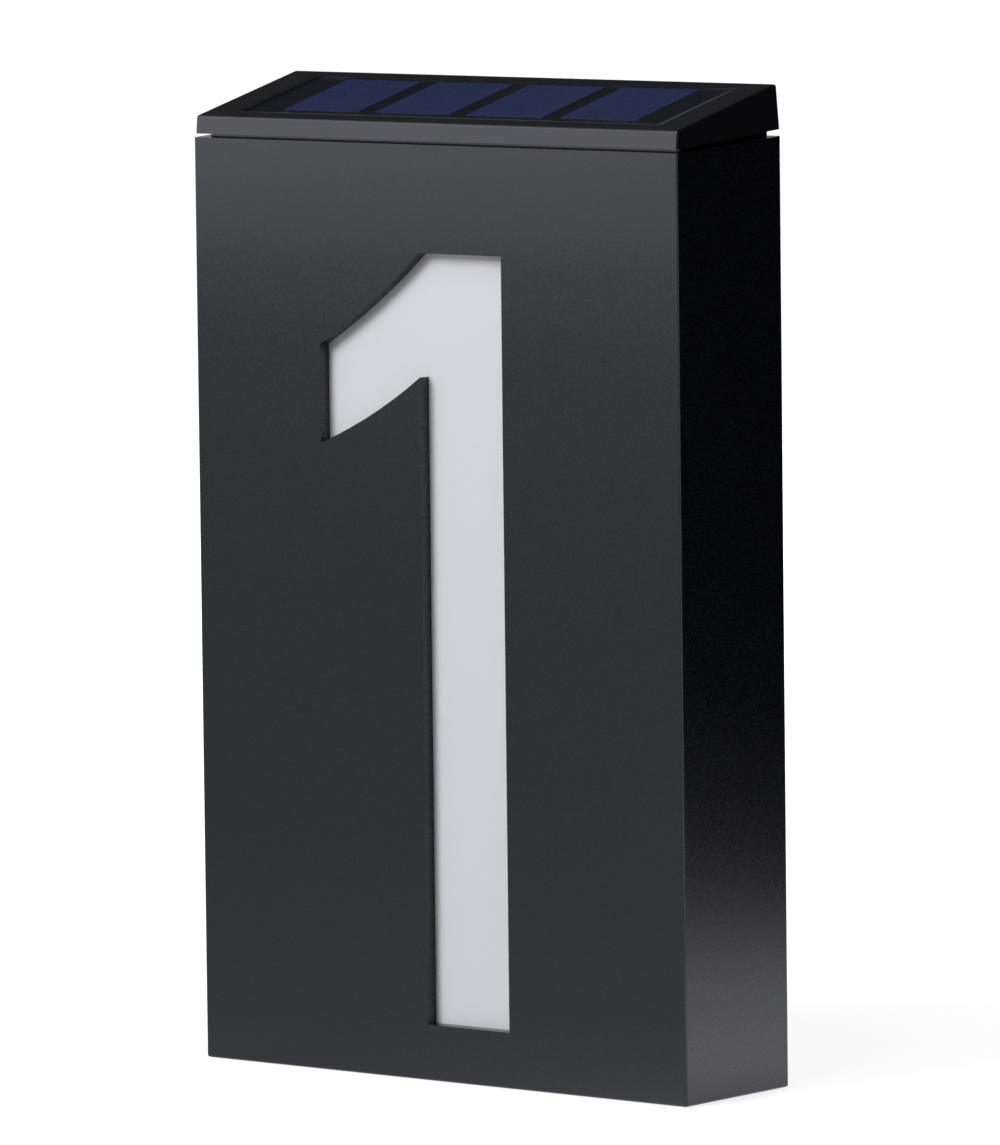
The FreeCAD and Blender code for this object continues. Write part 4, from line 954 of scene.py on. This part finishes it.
# %% Resistors and solder joints
board_low, board_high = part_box("circuit_board")
board_top = board_high.z


def on_board(*spots):
    """Places on the circuit board, in millimetres from its left front corner."""
    return [(board_low.x + x / 1000, board_low.y + y / 1000, board_top) for x, y in spots]


resistor_spots = on_board((6.5, 4.5), (6.5, 8.0), (6.5, 11.5), (10.5, 5.5), (10.5, 11.0),
                          (25.0, 3.0), (25.0, 13.0))
small_body = blocks("small_body", [((-0.0006, -0.0006, 0.0001), (0.0006, 0.0006, 0.00055))],
                    0.00006)
hand_over(repeat("resistor_bodies", small_body, resistor_spots, chip_black))
small_ends = blocks("small_ends", [((x, -0.00062, 0.00002), (x + 0.0004, 0.00062, 0.00057))
                                   for x in (-0.0010, 0.0006)], 0.00006)
hand_over(repeat("resistor_ends", small_ends, resistor_spots, lead_frame))

joint_shape = turned("joint_shape", [
    (0.0, 0.0), (0.0009, 0.0), (0.00072, 0.00022), (0.00045, 0.00045), (0.0003, 0.0008),
    (0.0, 0.00085)], 16)
joint_spots = on_board((2.5, 2.5), (2.5, 13.5), (16.5, 2.5), (16.5, 13.5), (37.5, 3.0),
                       (37.5, 13.0), (47.2, 2.5), (47.2, 13.8))
hand_over(repeat("solder_joints", joint_shape, joint_spots, lead_frame, spin=math.pi, seed=5,
                 keep=True))

# %% [markdown]
# ## Leads
#
# The solids carry each pair of leads as one flat strip. Here each is two round
# insulated wires side by side. A second tree sweeps a circle along a curve,
# with the radius and the number of sides as named inputs.

# %% The tree: tube along a path
tube_tree, given, made = new_geometry_tree("tube along a path", {"Radius": 0.0006, "Sides": 16})
tree = tube_tree
ring = add_node(tree, "GeometryNodeCurvePrimitiveCircle", Radius=given["Radius"],
                Resolution=given["Sides"])
sweep = add_node(tree, "GeometryNodeCurveToMesh", Curve=given["Geometry"],
                 Profile_Curve=ring.outputs["Curve"], Fill_Caps=True)
smooth = add_node(tree, "GeometryNodeSetShadeSmooth", Geometry=sweep.outputs[0])
end_tree(smooth.outputs[0], given, made)


def make_path(name, points, kind="POLY", closed=False):
    """A curve object through the points: straight steps, or one smooth NURBS line."""
    data = bpy.data.curves.new(name, "CURVE")
    data.dimensions = "3D"
    data.resolution_u = 8
    line = data.splines.new(kind)
    line.points.add(len(points) - 1)
    for point, place in zip(line.points, points):
        point.co = (*place, 1.0)
    line.use_cyclic_u = closed
    if kind == "NURBS":
        line.order_u = 3
        line.use_endpoint_u = True
    return new_object(name + "_path", data)


# %% The four wires
WIRE_RADIUS = 0.00058


def make_wires(name, node, low, high, route):
    """A red and a black wire in a flat lead's place. The route is each point's y and z."""
    for shade, material, share in (("red", lead_red, 0.25), ("black", lead_black, 0.75)):
        x = low.x + (high.x - low.x) * share
        wire = f"{name}_{shade}"
        path = make_path(wire, [(x, y, z) for y, z in route], "NURBS")
        hand_over(run_tree(path, tube_tree, wire, Radius=WIRE_RADIUS, Finish=material),
                  instead_of=[node] if shade == "red" else ())


low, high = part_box("panel_leads")
y = (low.y + high.y) / 2
make_wires("panel_wire", "panel_leads", low, high, [
    (y, low.z + 0.0002), (y + 0.0002, low.z * 0.7 + high.z * 0.3),
    (y - 0.0002, low.z * 0.35 + high.z * 0.65), (y, high.z - 0.0005)])
low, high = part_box("led_leads")
lamp_board_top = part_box("led_board")[1].z
front, back, crown = low.y + WIRE_RADIUS, high.y - WIRE_RADIUS, high.z - WIRE_RADIUS
make_wires("lamp_wire", "led_leads", low, high, [
    (front, lamp_board_top + 0.0001), (front, lamp_board_top + 0.005),
    (front + 0.0001, crown - 0.0012), ((front + back) / 2, crown + 0.0006),
    (back - 0.0001, crown - 0.0012), (back, board_top + 0.003), (back, board_top + 0.0001)])

# %% [markdown]
# ## The seal
#
# The solid is a flat ring round the neck. The real seal has two soft lips that
# touch the box, so here it is two round beads on a thinner band. The same tree
# as for the wires sweeps the beads round the neck's outline.

# %% The seal
BEAD, CORNER = 0.00034, 0.0012
BAND_OUTSIDE, BAND_INSIDE, BAND_EDGE = 0.00012, 0.0007, 0.0001
low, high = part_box("head_seal")
half_x, front, back = high.x - BEAD, low.y + BEAD, high.y - BEAD
outline = []
for quarter, (side_x, y) in enumerate(((1, back - CORNER), (-1, back - CORNER),
                                       (-1, front + CORNER), (1, front + CORNER))):
    for step in range(5):
        angle = (quarter * 0.5 + step / 8) * math.pi
        outline.append((side_x * (half_x - CORNER) + CORNER * math.cos(angle),
                        y + CORNER * math.sin(angle)))
foot, head = low.z + BAND_EDGE, high.z - BAND_EDGE
band = bmesh.new()
rows = [[band.verts.new((x * (1 - inset / half_x), y * (1 - inset / back), height))
         for x, y in outline]
        for inset, height in ((BAND_OUTSIDE, foot), (BAND_OUTSIDE, head), (BAND_INSIDE, head),
                              (BAND_INSIDE, foot))]
for row, following in zip(rows, rows[1:] + rows[:1]):
    for i in range(len(outline)):
        j = (i + 1) % len(outline)
        band.faces.new((row[i], row[j], following[j], following[i]))
bmesh.ops.recalc_face_normals(band, faces=band.faces)
hand_over(to_object("seal_band", band, smooth=False), seal_rubber,
          instead_of=["head_seal"])
for index, height in enumerate((low.z + BEAD, high.z - BEAD)):
    path = make_path("seal_lip", [(x, y, height) for x, y in outline], closed=True)
    lip = run_tree(path, tube_tree, f"seal_lip_{index}", Radius=BEAD, Sides=12, Finish=seal_rubber)
    hand_over(lip)

# %% [markdown]
# ## Ribs under the fingers
#
# The battery door and the switch knob have ribs so that a finger can push
# them. A third tree lays rounded bars in a row, with the count, the pitch, the
# length and the radius as named inputs.

# %% The tree: row of ribs
rib_tree, given, made = new_geometry_tree(
    "row of ribs", {"Count": 5, "Pitch": 0.001, "Length": 0.004, "Radius": 0.0003})
tree = rib_tree
step = add_node(tree, "ShaderNodeCombineXYZ", X=given["Pitch"])
row = add_node(tree, "GeometryNodeMeshLine", Count=given["Count"], Offset=step.outputs[0])
bar = add_node(tree, "GeometryNodeMeshCylinder", Vertices=12, Radius=given["Radius"],
               Depth=given["Length"])
laid = add_node(tree, "GeometryNodeInstanceOnPoints", Points=row.outputs[0],
                Instance=bar.outputs["Mesh"], Rotation=(math.pi / 2, 0.0, 0.0))
end_tree(laid.outputs[0], given, made)


def row_of_ribs(name, start, count, pitch, length, finish):
    """A row of rounded bars along X from its first bar's middle."""
    holder = new_object(name + "_holder", bpy.data.meshes.new(name))
    ribs = run_tree(holder, rib_tree, name, Count=count, Pitch=pitch, Length=length,
                    Radius=0.0003, Finish=finish)
    ribs.data.transform(Matrix.Translation(start))
    return ribs


# %% The knob of the switch
low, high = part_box("switch_slider")
stem_low = low.z + 0.0023
knob = blocks("switch_knob", [
    ((low.x, low.y, low.z + 0.0004), (high.x, high.y, stem_low)),
    ((low.x + 0.0004, low.y + 0.0003, stem_low - 0.0002),
     (high.x - 0.0004, high.y - 0.0003, high.z))], 0.00022)
hand_over(knob, switch_white, instead_of=["switch_slider"], body="power_switch")
rib_count = 4
pitch = (high.x - low.x) / (rib_count + 1)
ribs = row_of_ribs("knob_ribs", (low.x + pitch, (low.y + high.y) / 2, low.z + 0.0004), rib_count,
                   pitch, high.y - low.y - 0.0004, switch_white)
hand_over(ribs, body="power_switch")

# %% The grip on the battery door
low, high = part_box("battery_door")
grip = row_of_ribs("door_grip", (low.x + 0.0030, (low.y + high.y) / 2, low.z + 0.00005), 6, 0.0012,
                   (high.y - low.y) * 0.62, tray_black)
hand_over(grip, body="battery_door")

# %% [markdown]
# ## The accumulator's contacts
#
# The left contact is a plate with a wound spring that presses on the flat end.
# The right one is a plate with a dimple that meets the button. The spring is
# one more path for the tube tree: its radius shrinks turn by turn.

# %% Contact plates
PLATE, DIMPLE_HEIGHT = 0.00035, 0.0012
(left_low, left_high), (right_low, right_high) = separate_places("battery_contacts")
plates = blocks("contact_plates", [
    (left_low, (left_low.x + PLATE, left_high.y, left_high.z)),
    ((right_high.x - PLATE, right_low.y, right_low.z), right_high)], 0.00012)
hand_over(plates, contact_nickel, instead_of=["battery_contacts"])

contact_y, contact_z = (right_low.y + right_high.y) / 2, (right_low.z + right_high.z) / 2
dimple = turned("contact_dimple", [
    (0.0, 0.0), (0.0022, 0.0), (0.0018, 0.0004), (0.0012, DIMPLE_HEIGHT * 0.85),
    (0.0007, DIMPLE_HEIGHT), (0.0, DIMPLE_HEIGHT)], 24, Matrix.Translation(
        (right_high.x - PLATE, contact_y, contact_z)) @ Matrix.Rotation(-math.pi / 2, 4, "Y"))
hand_over(dimple, contact_nickel)

# %% The contact spring
SPRING_WIRE, SPRING_TURNS, STEPS = 0.00022, 3, 14
SPRING_RADIUS, SPRING_TAPER = 0.0033, 0.0018
coil_path = []
for i in range(SPRING_TURNS * STEPS + 1):
    share = i / (SPRING_TURNS * STEPS)
    radius = SPRING_RADIUS - SPRING_TAPER * share
    angle = 2 * math.pi * i / STEPS
    coil_path.append((left_low.x + PLATE + SPRING_WIRE
                      + share * (left_high.x - left_low.x - PLATE - 2 * SPRING_WIRE),
                      contact_y + radius * math.cos(angle), contact_z + radius * math.sin(angle)))
spring = run_tree(make_path("contact_spring", coil_path), tube_tree, "contact_spring",
                  Radius=SPRING_WIRE, Sides=10, Finish=contact_nickel)
hand_over(spring)

# %% [markdown]
# ## Joints on the lamp board and pins of the switch
#
# Each lamp's two legs end in a joint on top of their board, and the switch has
# three pins that reach up to the circuit.

# %% Solder joints and pins
lamp_joints = [(x + side * 0.0009, y, lamp_board_top) for x, y, z in middles for side in (-1, 1)]
hand_over(repeat("lamp_joints", joint_shape, lamp_joints, lead_frame, spin=math.pi, seed=9))
low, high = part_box("switch_body")
pin_shape = blocks("pin_shape", [((-0.0004, -0.00015, -0.0002), (0.0004, 0.00015, 0.0022))],
                   0.00006)
pin_spots = [((low.x + high.x) / 2 + step * 0.0025, (low.y + high.y) / 2, high.z)
             for step in (-1, 0, 1)]
hand_over(repeat("switch_pins", pin_shape, pin_spots, lead_frame))
